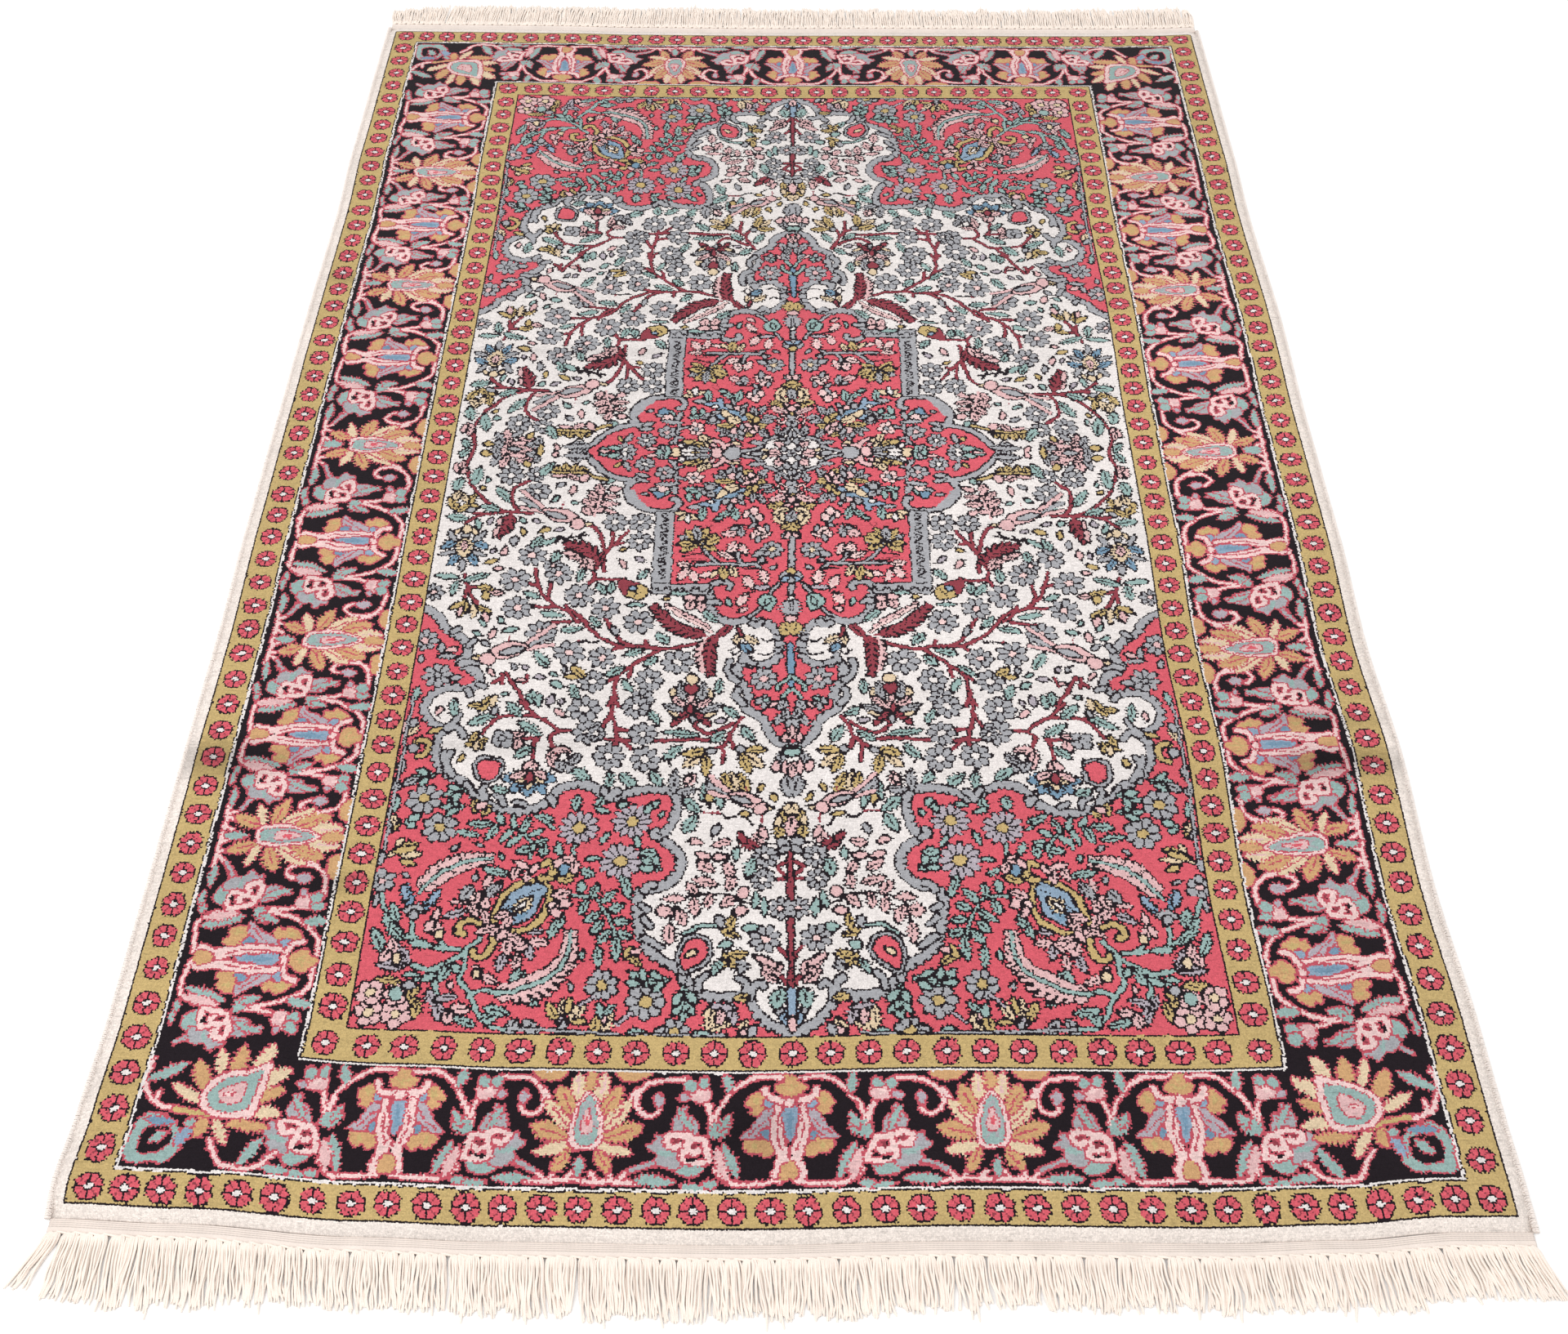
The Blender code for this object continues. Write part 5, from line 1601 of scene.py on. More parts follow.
# %% Each face's piece of the chart
padded = np.pad(chart, 1, mode="edge").astype(np.int64)
digits = np.zeros((7, len(block_number), block_number.shape[1]), np.int64)
chart_rows, chart_columns = chart.shape
for row in range(7):
    for column in range(6):
        yarn_there = padded[row:row + chart_rows:BLOCK_ROWS, column:column + chart_columns:BLOCK_COLUMNS]
        digits[row] += yarn_there * 16 ** column
digits = digits.reshape(7, -1)
edge_block = np.concatenate([block_number[0], block_number[:, -1], block_number[-1, ::-1],
                             block_number[::-1, 0]])
block_of_face = np.concatenate([block_number.ravel(), block_number.ravel(), edge_block, edge_block])
carried = digits[:, block_of_face]
for name, rows in (("chart_low", (0, 1, 2)), ("chart_middle", (3, 4, 5)), ("chart_high", (6, 6, 6))):
    held = pile_mesh.attributes.new(name, "FLOAT_VECTOR", "FACE")
    held.data.foreach_set("vector", carried[list(rows)].T.astype(np.float32).ravel())

# where every corner of a face lies, counted in knots: on the whole chart, and on its own block
point_column = np.concatenate([column_at.ravel(), column_at.ravel(), column_at.ravel()[rim]])
point_row = np.concatenate([row_at.ravel(), row_at.ravel(), row_at.ravel()[rim]])
corner_knots = np.stack([point_column[pile_faces], point_row[pile_faces]], -1)
low_column = -columns_across + BLOCK_COLUMNS * (block_of_face % block_number.shape[1])
low_row = -rows_along + BLOCK_ROWS * (block_of_face // block_number.shape[1])
corner_block = corner_knots - np.stack([low_column, low_row], -1)[:, None, :]
for name, corners in (("knots", corner_knots), ("block", corner_block)):
    layer = pile_mesh.uv_layers.new(name=name)
    layer.data.foreach_set("uv", corners.astype(np.float32).ravel())
print("every face carries", digits.shape[0], "rows of 6 knots")
# %% [markdown]
# ## Reading the chart in the material
# The material asks three things at every point: which knot is nearest, which yarn that knot is, and
# how far the point lies from the knot's middle. A Voronoi pattern answers the first and the last.
# The second is arithmetic on the numbers that the face carries: pick the row, divide the digits
# before the column away, keep one. All of it is one node group, used for the face and the back.

# %% Node helpers
def math_node(tree, operation, *values):
    made = tree.nodes.new("ShaderNodeMath")
    made.operation = operation
    for value, socket in zip(values, made.inputs):
        wire(tree, value, socket)
    return made.outputs[0]


def vector_node(tree, operation, *values):
    made = tree.nodes.new("ShaderNodeVectorMath")
    made.operation = operation
    for value, socket in zip(values, made.inputs):
        wire(tree, value, socket)
    return made.outputs["Value" if operation in ("DOT_PRODUCT", "LENGTH", "DISTANCE") else "Vector"]


def join(tree, x, y=0.0, z=0.0):
    made = tree.nodes.new("ShaderNodeCombineXYZ")
    for value, socket in zip((x, y, z), made.inputs):
        wire(tree, value, socket)
    return made.outputs[0]


def part_of(tree, vector):
    made = tree.nodes.new("ShaderNodeSeparateXYZ")
    wire(tree, vector, made.inputs[0])
    return made.outputs


def mapped(tree, value, low, high, to_low, to_high, smooth_step=False):
    made = tree.nodes.new("ShaderNodeMapRange")
    if smooth_step:
        made.interpolation_type = "SMOOTHSTEP"
    for socket, given in zip(made.inputs, (value, low, high, to_low, to_high)):
        wire(tree, given, socket)
    return made.outputs[0]


def noise(tree, vector, scale, detail=2.0, roughness=0.5):
    made = tree.nodes.new("ShaderNodeTexNoise")
    wire(tree, vector, made.inputs["Vector"])
    made.inputs["Scale"].default_value = scale
    made.inputs["Detail"].default_value = detail
    made.inputs["Roughness"].default_value = roughness
    return made.outputs["Fac"]


def mixed(tree, blend, share, first, second):
    made = tree.nodes.new("ShaderNodeMix")
    made.data_type = "RGBA"
    made.blend_type = blend
    wire(tree, share, made.inputs["Factor"])
    wire(tree, first, made.inputs[6])
    wire(tree, second, made.inputs[7])
    return made.outputs[2]


def uv(tree, name):
    made = tree.nodes.new("ShaderNodeUVMap")
    made.uv_map = name
    return made.outputs[0]


def held_numbers(tree, name):
    made = tree.nodes.new("ShaderNodeAttribute")
    made.attribute_name = name
    return made.outputs["Vector"]


def new_group(name, given, results):
    """A node group, its given and its result sockets as (name, kind) pairs."""
    tree = bpy.data.node_groups.new(name, "ShaderNodeTree")
    for socket, kind in given:
        tree.interface.new_socket(socket, in_out="INPUT", socket_type=kind)
    for socket, kind in results:
        tree.interface.new_socket(socket, in_out="OUTPUT", socket_type=kind)
    return tree, tree.nodes.new("NodeGroupInput"), tree.nodes.new("NodeGroupOutput")


def use_group(tree, group):
    made = tree.nodes.new("ShaderNodeGroup")
    made.node_tree = group
    return made


def linear(colour):
    """A colour as it looks, turned into the light it reflects."""
    return [((part / 255 + 0.055) / 1.055) ** 2.4 for part in colour]


# %% The yarns' colours
YARN_COLOURS = {
    UNDYED: (228, 217, 209), BLACK: (30, 23, 28), IVORY: (221, 214, 211), RED: (205, 89, 101),
    GOLD: (187, 162, 110), GREY: (159, 159, 163), TEAL: (144, 169, 165), PINK: (214, 174, 174),
    MAROON: (138, 60, 70), BLUE: (135, 156, 176), CREAM: (213, 191, 160), ORANGE: (195, 154, 110),
    LILAC: (169, 160, 168), ROSE: (183, 80, 93), BLUSH: (225, 193, 190), SKY: (113, 142, 164)}

# %% The knot group
STRAY = 0.62                              # how far tufts lean off the grid, in knots
FUZZ = 0.85                               # how far single fibres stray, in knots

knot_group, given, result = new_group("nearest_knot", [], [
    ("Yarn", "NodeSocketColor"), ("Number", "NodeSocketFloat"), ("Distance", "NodeSocketFloat"),
    ("Tuft", "NodeSocketVector")])
tree = knot_group
fibre_stray = tree.nodes.new("ShaderNodeTexNoise")
wire(tree, vector_node(tree, "MULTIPLY", uv(tree, "knots"), (2.6, 2.0, 1.0)),
     fibre_stray.inputs["Vector"])
fibre_stray.inputs["Scale"].default_value = 1.0
fibre_stray.inputs["Detail"].default_value = 2.0
stray = vector_node(tree, "SUBTRACT", fibre_stray.outputs["Color"], (0.5, 0.5, 0.5))
stray = vector_node(tree, "MULTIPLY", stray, (FUZZ, FUZZ, 0.0))
place_in_knots = vector_node(tree, "ADD", uv(tree, "knots"), stray)
place_in_knots = vector_node(tree, "SUBTRACT", place_in_knots, ((1 - STRAY) / 2, (1 - STRAY) / 2, 0.0))
cells = tree.nodes.new("ShaderNodeTexVoronoi")
cells.voronoi_dimensions = "2D"
cells.inputs["Scale"].default_value = 1.0
cells.inputs["Randomness"].default_value = STRAY
wire(tree, place_in_knots, cells.inputs["Vector"])
tuft = vector_node(tree, "FLOOR", cells.outputs["Position"])
corner = vector_node(tree, "SUBTRACT", uv(tree, "knots"), uv(tree, "block"))
corner = vector_node(tree, "FLOOR", vector_node(tree, "ADD", corner, (0.5, 0.5, 0.5)))
local = part_of(tree, vector_node(tree, "SUBTRACT", tuft, corner))
column = math_node(tree, "MAXIMUM", math_node(tree, "ADD", local[0], 1.0), 0.0)
column = math_node(tree, "MINIMUM", column, 5.0)
row = math_node(tree, "MAXIMUM", math_node(tree, "ADD", local[1], 1.0), 0.0)
row = math_node(tree, "MINIMUM", row, 6.0)
picked = None
for name, first in (("chart_low", 0), ("chart_middle", 3), ("chart_high", 6)):
    rows_held = range(first, min(first + 3, 7))
    flags = [math_node(tree, "COMPARE", row, float(number), 0.5) for number in rows_held]
    chosen = vector_node(tree, "DOT_PRODUCT", held_numbers(tree, name), join(tree, *flags))
    picked = chosen if picked is None else math_node(tree, "ADD", picked, chosen)
power = math_node(tree, "ROUND", math_node(tree, "POWER", 16.0, column))
digit = math_node(tree, "FLOOR", math_node(tree, "DIVIDE", picked, power))
digit = math_node(tree, "MODULO", digit, 16.0)
ramp = tree.nodes.new("ShaderNodeValToRGB")
ramp.color_ramp.interpolation = "CONSTANT"
while len(ramp.color_ramp.elements) < 16:
    ramp.color_ramp.elements.new(0.5)
for place_in_ramp, stop in enumerate(ramp.color_ramp.elements):
    stop.position = place_in_ramp / 16
for yarn, colour in YARN_COLOURS.items():
    ramp.color_ramp.elements[yarn].color = (*linear(colour), 1)
wire(tree, math_node(tree, "DIVIDE", math_node(tree, "ADD", digit, 0.5), 16.0), ramp.inputs[0])
wire(tree, ramp.outputs[0], result.inputs["Yarn"])
number = tree.nodes.new("ShaderNodeTexWhiteNoise")
number.noise_dimensions = "2D"
wire(tree, vector_node(tree, "ADD", tuft, (0.5, 0.5, 0.0)), number.inputs["Vector"])
wire(tree, number.outputs["Value"], result.inputs["Number"])
wire(tree, cells.outputs["Distance"], result.inputs["Distance"])
wire(tree, tuft, result.inputs["Tuft"])
print("the knot group has", len(tree.nodes), "nodes")

# %% [markdown]
# ## Wool
# Each tuft took the dye a little differently, and each bundle of yarn too, which leaves soft bands
# across the rug. Where the pile parts here and there between two rows, its colour is darkened as
# painted shade. Where the rug was folded or brushed and the pile lies the other way, it is painted
# darker, and in a few broad places lighter, as painted shade and painted light. The cut ends scatter
# light, so the wool is rough, with almost no shine.

# %% Rows, with painted shade at partings and brushed places
row_group, given, result = new_group("worn_rows", [], [("Tone", "NodeSocketFloat")])
tree = row_group
place_on_rug = tree.nodes.new("ShaderNodeTexCoord").outputs["Object"]
streaks = noise(tree, vector_node(tree, "MULTIPLY", uv(tree, "knots"), (0.16, 0.8, 1.0)), 1.0, 3.0, 0.6)
# painted shade: dark marks between two rows where the pile parts
parting_shade = noise(tree, vector_node(tree, "MULTIPLY", uv(tree, "knots"), (0.11, 0.62, 1.0)), 1.0, 2.0)
bands = noise(tree, vector_node(tree, "MULTIPLY", place_on_rug, (1.2, 34.0, 1.0)), 1.0, 3.0)
# painted shade and painted light: broad soft patches where the pile lies another way
pile_shading_noise = noise(tree, place_on_rug, 9.0, 3.0, 0.6)
tone_and_painted_shade = mapped(tree, streaks, 0.3, 0.7, 0.91, 1.07)
for factor in (mapped(tree, parting_shade, 0.60, 0.72, 1.0, 0.80, True),
               mapped(tree, bands, 0.3, 0.7, 0.96, 1.04),
               mapped(tree, pile_shading_noise, 0.25, 0.75, 0.95, 1.05)):
    tone_and_painted_shade = math_node(tree, "MULTIPLY", tone_and_painted_shade, factor)
# x, y, width, length and depth of the painted shade where the pile lies the other way or the
# rug was folded; those with a depth below zero are painted light instead
BRUSHED_PAINTED_SHADING = ((-0.57, -0.455, 0.10, 0.035, 0.34), (0.56, -0.452, 0.12, 0.030, 0.34),
           (-0.03, -0.845, 0.06, 0.035, 0.25), (0.55, -0.40, 0.12, 0.018, 0.22),
           (-0.42, -0.60, 0.05, 0.020, 0.22), (-0.575, 0.315, 0.05, 0.016, 0.26),
           (0.50, -0.46, 0.05, 0.030, 0.22), (-0.30, -0.44, 0.25, 0.012, 0.14),
           (0.20, -0.13, 0.30, 0.012, 0.10), (-0.25, 0.17, 0.30, 0.012, 0.12),
           (0.50, 0.15, 0.20, 0.60, -0.12), (0.16, -0.05, 0.40, 0.70, -0.09),
           (-0.45, 0.45, 0.20, 0.50, -0.05))
astray = join(tree, mapped(tree, pile_shading_noise, 0.0, 1.0, -0.5, 0.5), mapped(tree, streaks, 0.0, 1.0, -0.5, 0.5))
ragged = vector_node(tree, "ADD", place_on_rug, vector_node(tree, "MULTIPLY", astray, (0.10, 0.03, 0.0)))
for x, y, width, length, depth in BRUSHED_PAINTED_SHADING:
    away = vector_node(tree, "MULTIPLY", vector_node(tree, "SUBTRACT", ragged, (x, y, 0.0)),
                       (1 / width, 1 / length, 0.0))
    fade = mapped(tree, vector_node(tree, "LENGTH", away), 0.1, 1.0, 1.0 - depth, 1.0, True)
    tone_and_painted_shade = math_node(tree, "MULTIPLY", tone_and_painted_shade, fade)
wire(tree, tone_and_painted_shade, result.inputs["Tone"])
print("rows and painted pile shade, with", len(BRUSHED_PAINTED_SHADING), "brushed places")


# %% [markdown]
# ## The pile's two faces
# The face shows the cut ends of the tufts, and the back shows the same knots as flat loops. Both
# are one recipe, given a name, how deep the painted shade between knots is and how high the knots stand.
# Each tuft, each row and each fibre changes the yarn's colour a little, by multiplying it.

# %% The pile's materials
def wool_surface(name, depth, bump_distance):
    material = bpy.data.materials.new(name)
    material.use_nodes = True
    tree = material.node_tree
    surface = tree.nodes["Principled BSDF"]
    knot = use_group(tree, knot_group)
    rows = use_group(tree, row_group)
    place_on_rug = tree.nodes.new("ShaderNodeTexCoord").outputs["Object"]
    tone = mapped(tree, knot.outputs["Number"], 0.0, 1.0, 0.88, 1.09)
    fibres = mapped(tree, noise(tree, place_on_rug, 1500.0, 2.0), 0.3, 0.7, 0.84, 1.10)
    # painted shade: each tuft darkens from its middle towards the gaps between tufts, as deep as depth
    gaps = mapped(tree, knot.outputs["Distance"], 0.30, 0.85, 1.0, 1.0 - depth)
    for factor in (rows.outputs["Tone"], fibres, gaps):
        tone = math_node(tree, "MULTIPLY", tone, factor)
    colour = mixed(tree, "MULTIPLY", 1.0, knot.outputs["Yarn"], join(tree, tone, tone, tone))
    wire(tree, colour, surface.inputs["Base Color"])
    surface.inputs["Roughness"].default_value = 0.95
    surface.inputs["Specular IOR Level"].default_value = 0.10
    surface.inputs["Sheen Weight"].default_value = 0.04
    surface.inputs["Sheen Roughness"].default_value = 0.5
    bump = tree.nodes.new("ShaderNodeBump")
    bump.inputs["Strength"].default_value = 0.6
    bump.inputs["Distance"].default_value = bump_distance
    dome = math_node(tree, "SUBTRACT", 1.0, math_node(tree, "POWER", knot.outputs["Distance"], 2.0))
    height = math_node(tree, "ADD", dome, math_node(tree, "MULTIPLY", fibres, 1.2))
    height = math_node(tree, "ADD", height, math_node(tree, "MULTIPLY", knot.outputs["Number"], 0.35))
    height = math_node(tree, "ADD", height, math_node(tree, "MULTIPLY", rows.outputs["Tone"], 2.0))
    wire(tree, height, bump.inputs["Height"])
    wire(tree, bump.outputs[0], surface.inputs["Normal"])
    return material


pile_mesh.materials.append(wool_surface("wool_pile_face", 0.15, 0.0006))
pile_mesh.materials.append(wool_surface("wool_pile_back", 0.22, 0.0004))
slots = np.zeros(len(pile_faces), np.int32)
slots[len(block):2 * len(block)] = 1
pile_mesh.polygons.foreach_set("material_index", slots)
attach(pile, "root")
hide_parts("pile_body")
print("the pile has", len(pile_mesh.materials), "materials")
# %% [markdown]
# ## Cotton
# The warps that run through the whole rug are cotton. They come out at both ends, first woven into
# a flat strip that keeps the knots from sliding off, then gathered into the fringe. Undyed cotton
# is a warm white, duller than the wool, and its ply shows as fine slanting lines.

# %% Cotton and cream wool materials
def soft_white(name, colour, sheen, grain, depth):
    """Undyed yarn: a warm white with a fine grain. Returns the tree's parts so that more can be added."""
    material = bpy.data.materials.new(name)
    material.use_nodes = True
    tree = material.node_tree
    surface = tree.nodes["Principled BSDF"]
    place_on_rug = tree.nodes.new("ShaderNodeTexCoord").outputs["Object"]
    cloud = mapped(tree, noise(tree, place_on_rug, 55.0, 3.0), 0.3, 0.7, 0.94, 1.03)
    fibres = noise(tree, place_on_rug, grain, 3.0, 0.6)
    tone = math_node(tree, "MULTIPLY", cloud, mapped(tree, fibres, 0.3, 0.7, 0.92, 1.05))
    wire(tree, mixed(tree, "MULTIPLY", 1.0, (*linear(colour), 1), join(tree, tone, tone, tone)),
         surface.inputs["Base Color"])
    surface.inputs["Roughness"].default_value = 0.9
    surface.inputs["Specular IOR Level"].default_value = 0.15
    surface.inputs["Sheen Weight"].default_value = sheen
    surface.inputs["Sheen Roughness"].default_value = 0.5
    bump = tree.nodes.new("ShaderNodeBump")
    bump.inputs["Strength"].default_value = 0.5
    bump.inputs["Distance"].default_value = depth
    wire(tree, fibres, bump.inputs["Height"])
    wire(tree, bump.outputs[0], surface.inputs["Normal"])
    return material, tree, bump, fibres


FRINGE_COTTON = (244, 231, 220)
WEB_COTTON = (226, 213, 204)
CORD_WOOL = (236, 226, 219)
# painted light: the edge tufts are the margin's wool, given a lighter cream so that the shade among them
# looks less grey
TUFT_WOOL_LIGHTENED = (238, 228, 221)
cord_wool = soft_white("overcast_wool", CORD_WOOL, 0.2, 1500.0, 0.0004)[0]
lightened_tuft_wool = soft_white("edge_wool", TUFT_WOOL_LIGHTENED, 0.2, 1800.0, 0.0003)[0]

# The strip's ribs are soft, and the shade between them is deeper than the light alone would make it.
web_cotton, tree, bump, fibres = soft_white("web_cotton", WEB_COTTON, 0.08, 1400.0, 0.0003)
height_on_strip = part_of(tree, tree.nodes.new("ShaderNodeTexCoord").outputs["Object"])[2]
groove = mapped(tree, height_on_strip, 0.00175, 0.00230, 0.74, 1.0, True)
groove = math_node(tree, "MAXIMUM", groove, math_node(tree, "LESS_THAN", height_on_strip, 0.0011))
surface = tree.nodes["Principled BSDF"]
plain_colour = surface.inputs["Base Color"].links[0].from_socket
shaded_colour = mixed(tree, "MULTIPLY", 1.0, plain_colour, join(tree, groove, groove, groove))
wire(tree, shaded_colour, surface.inputs["Base Color"])

# The fringe's strands carry, at every point, the direction round the strand and the way along it,
# so that two plies can wind about each other without a seam.
fringe_cotton, tree, bump, fibres = soft_white("fringe_cotton", FRINGE_COTTON, 0.12, 1600.0, 0.0003)
PLY_TURNS = 330.0                         # per metre
round_x, round_y, run = part_of(tree, held_numbers(tree, "strand"))
angle = math_node(tree, "MULTIPLY", run, PLY_TURNS * 2 * math.pi)
winding = math_node(tree, "ADD", math_node(tree, "MULTIPLY", round_y, math_node(tree, "COSINE", angle)),
                    math_node(tree, "MULTIPLY", round_x, math_node(tree, "SINE", angle)))
ply = math_node(tree, "ADD", math_node(tree, "MULTIPLY", math_node(tree, "ABSOLUTE", winding), 1.2),
                math_node(tree, "MULTIPLY", fibres, 0.5))
wire(tree, ply, bump.inputs["Height"])
print("four yarns")

# %% [markdown]
# ## Geometry Nodes for what repeats
# The yarn that binds the cords, the tufts along the rug's edge and the strands of the fringe repeat
# thousands of times. Each is one small tree: it puts a shape where it is wanted, varies it a
# little with a fixed seed, and hands back a plain mesh.

# %% Tree helpers
def geometry_tree(name, numbers):
    """A tree that takes geometry and the named numbers, with their usual values."""
    tree = bpy.data.node_groups.new(name, "GeometryNodeTree")
    tree.interface.new_socket("Geometry", in_out="INPUT", socket_type="NodeSocketGeometry")
    for label, usual in numbers.items():
        kind = "NodeSocketInt" if isinstance(usual, int) else "NodeSocketFloat"
        tree.interface.new_socket(label, in_out="INPUT", socket_type=kind).default_value = usual
    tree.interface.new_socket("Geometry", in_out="OUTPUT", socket_type="NodeSocketGeometry")
    return tree, tree.nodes.new("NodeGroupInput"), tree.nodes.new("NodeGroupOutput")


def geo(tree, kind, settings=None, **sockets):
    """A geometry node; sockets are given by name, with spaces as underscores."""
    made = tree.nodes.new("GeometryNode" + kind if not kind.startswith(("Function", "Shader")) else kind)
    for name, value in (settings or {}).items():
        setattr(made, name, value)
    for name, value in sockets.items():
        socket = made.inputs[name.replace("_", " ")]
        wire(tree, value, socket)
    return made


def random_value(tree, low, high, seed, vector=False):
    made = tree.nodes.new("FunctionNodeRandomValue")
    made.data_type = "FLOAT_VECTOR" if vector else "FLOAT"
    first = 0 if vector else 2
    wire(tree, low, made.inputs[first])
    wire(tree, high, made.inputs[first + 1])
    wire(tree, seed, made.inputs["Seed"])
    return made.outputs[0 if vector else 1]


def grown(obj, tree, **numbers):
    """The object with the tree's result as its own plain mesh."""
    modifier = obj.modifiers.new("grow", "NODES")
    modifier.node_group = tree
    for item in tree.interface.items_tree:
        if item.in_out == "INPUT" and item.name.replace(" ", "_") in numbers:
            modifier[item.identifier] = numbers[item.name.replace(" ", "_")]
    evaluated = obj.evaluated_get(bpy.context.evaluated_depsgraph_get())
    mesh = bpy.data.meshes.new_from_object(evaluated)
    piece = bpy.data.objects.new(obj.name + "_piece", mesh)
    name = obj.name
    bpy.data.objects.remove(obj)
    piece.name = name
    mesh.name = name
    bpy.context.scene.collection.objects.link(piece)
    return piece


def polyline(name, paths):
    """A curve object of open polylines: one array of points for each."""
    data = bpy.data.curves.new(name, "CURVE")
    data.dimensions = "3D"
    for points in paths:
        spline = data.splines.new("POLY")
        spline.points.add(len(points) - 1)
        spline.points.foreach_set("co", np.hstack([points, np.ones((len(points), 1))]).ravel())
    obj = bpy.data.objects.new(name, data)
    bpy.context.scene.collection.objects.link(obj)
    return obj


# %% [markdown]
# ## The overcast cords
# Each long side is bound over a cord: wool is wound round it, turn after turn, close together.
# A turn is one slanting ring of yarn, set on the cord's line at even steps and leaned and sized a
# little differently each time. A plain core closes the gaps between the turns.

# %% Side cords
cord_tree, given, result = geometry_tree("bound_cord", {"Radius": 0.0026, "Pitch": 0.0019, "Seed": 1})
tree = cord_tree
by_length = {"mode": "LENGTH"}
cord_line = given.outputs["Geometry"]
line = geo(tree, "ResampleCurve", by_length, Curve=cord_line, Length=given.outputs["Pitch"])
core_line = geo(tree, "ResampleCurve", by_length, Curve=cord_line, Length=0.012)
core_radius = math_node(tree, "MULTIPLY", given.outputs["Radius"], 0.72)
core_profile = geo(tree, "CurvePrimitiveCircle", Resolution=8, Radius=core_radius)
core = geo(tree, "CurveToMesh", Curve=core_line.outputs[0], Fill_Caps=True,
           Profile_Curve=core_profile.outputs["Curve"])
turn_radius = math_node(tree, "MULTIPLY", given.outputs["Radius"], 0.80)
yarn_radius = math_node(tree, "MULTIPLY", given.outputs["Radius"], 0.23)
yarn_line = geo(tree, "CurvePrimitiveCircle", Resolution=11, Radius=turn_radius)
yarn_profile = geo(tree, "CurvePrimitiveCircle", Resolution=4, Radius=yarn_radius)
turn = geo(tree, "CurveToMesh", Curve=yarn_line.outputs["Curve"],
           Profile_Curve=yarn_profile.outputs["Curve"])
# the yarn lies flat: wide along the cord and thin away from it
flat_turn = geo(tree, "Transform", Geometry=turn.outputs[0], Scale=(1.0, 1.0, 1.9))
heading = geo(tree, "FunctionNodeAlignRotationToVector", {"axis": "Z"},
              Vector=tree.nodes.new("GeometryNodeInputTangent").outputs[0])
lean = random_value(tree, (0.04, -0.10, 0.0), (0.22, 0.10, 6.28), given.outputs["Seed"], vector=True)
leaned = geo(tree, "FunctionNodeRotateRotation", {"rotation_space": "LOCAL"}, Rotation=heading.outputs[0],
             Rotate_By=lean)
size = random_value(tree, 0.93, 1.06, given.outputs["Seed"])
turns = geo(tree, "InstanceOnPoints", Points=line.outputs[0], Instance=flat_turn.outputs[0],
            Rotation=leaned.outputs[0], Scale=size)
both = geo(tree, "JoinGeometry")
tree.links.new(core.outputs[0], both.inputs[0])
tree.links.new(turns.outputs[0], both.inputs[0])
real = geo(tree, "RealizeInstances", Geometry=both.outputs[0])
shaded = geo(tree, "SetShadeSmooth", Geometry=real.outputs[0])
coated = geo(tree, "SetMaterial", Geometry=shaded.outputs[0], Material=cord_wool)
tree.links.new(coated.outputs[0], result.inputs[0])

for side, seed in (("left", 3), ("right", 4)):
    away = 1 if side == "right" else -1
    low, high = (body_edge(0.0 if side == "left" else 1.0, end)[1] for end in ("near", "far"))
    y = np.linspace(low, high, 160)
    radius = CORD_DIAMETER / 2
    x = side_x(side, y, SIDE_MARGIN + GAP + radius - 0.0006)
    z = radius + GAP + 0.0002 * np.sin(y * 23 + seed)
    line_of_cord = polyline(side + "_binding", [np.stack([x, y, z], 1)])
    cord = grown(line_of_cord, cord_tree, Radius=radius - 0.0001, Seed=seed)
    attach(cord, "root")
    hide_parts(side + "_cord")
    print(cord.name, len(cord.data.polygons), "faces")

# %% [markdown]
# ## Tufts along the edge
# Down the rug's sides the pile is not held up by neighbours, and the outermost tufts lean out over
# the binding. These few thousand are real little tufts, which make the outline soft.

# %% Edge tufts
tuft_mesh = bpy.data.meshes.new("one_tuft")
tuft_points = [(0.00042 * math.cos(a), 0.00042 * math.sin(a), 0.0) for a in np.radians((30, 150, 270))]
tuft_points += [(0.00050 * math.cos(a), 0.00050 * math.sin(a), 0.0024) for a in np.radians((0, 120, 240))]
tuft_points += [(0.0, 0.0, 0.0040)]
tuft_faces = [(0, 2, 1), (0, 1, 4), (0, 4, 3), (1, 2, 5), (1, 5, 4), (2, 0, 3), (2, 3, 5), (3, 4, 6),
              (4, 5, 6), (5, 3, 6)]
tuft_mesh.from_pydata(tuft_points, [], tuft_faces)
one_tuft = bpy.data.objects.new("one_tuft", tuft_mesh)

tuft_tree, given, result = geometry_tree("edge_tufts", {"Seed": 5})
tree = tuft_tree
shape_of_tuft = geo(tree, "ObjectInfo", Object=one_tuft)
towards = geo(tree, "InputNamedAttribute", {"data_type": "FLOAT_VECTOR"}, Name="towards")
stray = random_value(tree, (-0.45, -0.45, -0.25), (0.45, 0.45, 0.35), given.outputs["Seed"], vector=True)
aim = geo(tree, "FunctionNodeAlignRotationToVector", {"axis": "Z"},
          Vector=vector_node(tree, "ADD", towards.outputs[0], stray))
size = random_value(tree, 0.75, 1.2, given.outputs["Seed"])
tufts = geo(tree, "InstanceOnPoints", Points=given.outputs["Geometry"], Rotation=aim.outputs[0],
            Scale=size, Instance=shape_of_tuft.outputs["Geometry"])
real = geo(tree, "RealizeInstances", Geometry=tufts.outputs[0])
shaded = geo(tree, "SetShadeSmooth", Geometry=real.outputs[0])
coated = geo(tree, "SetMaterial", Geometry=shaded.outputs[0], Material=lightened_tuft_wool)
tree.links.new(coated.outputs[0], result.inputs[0])

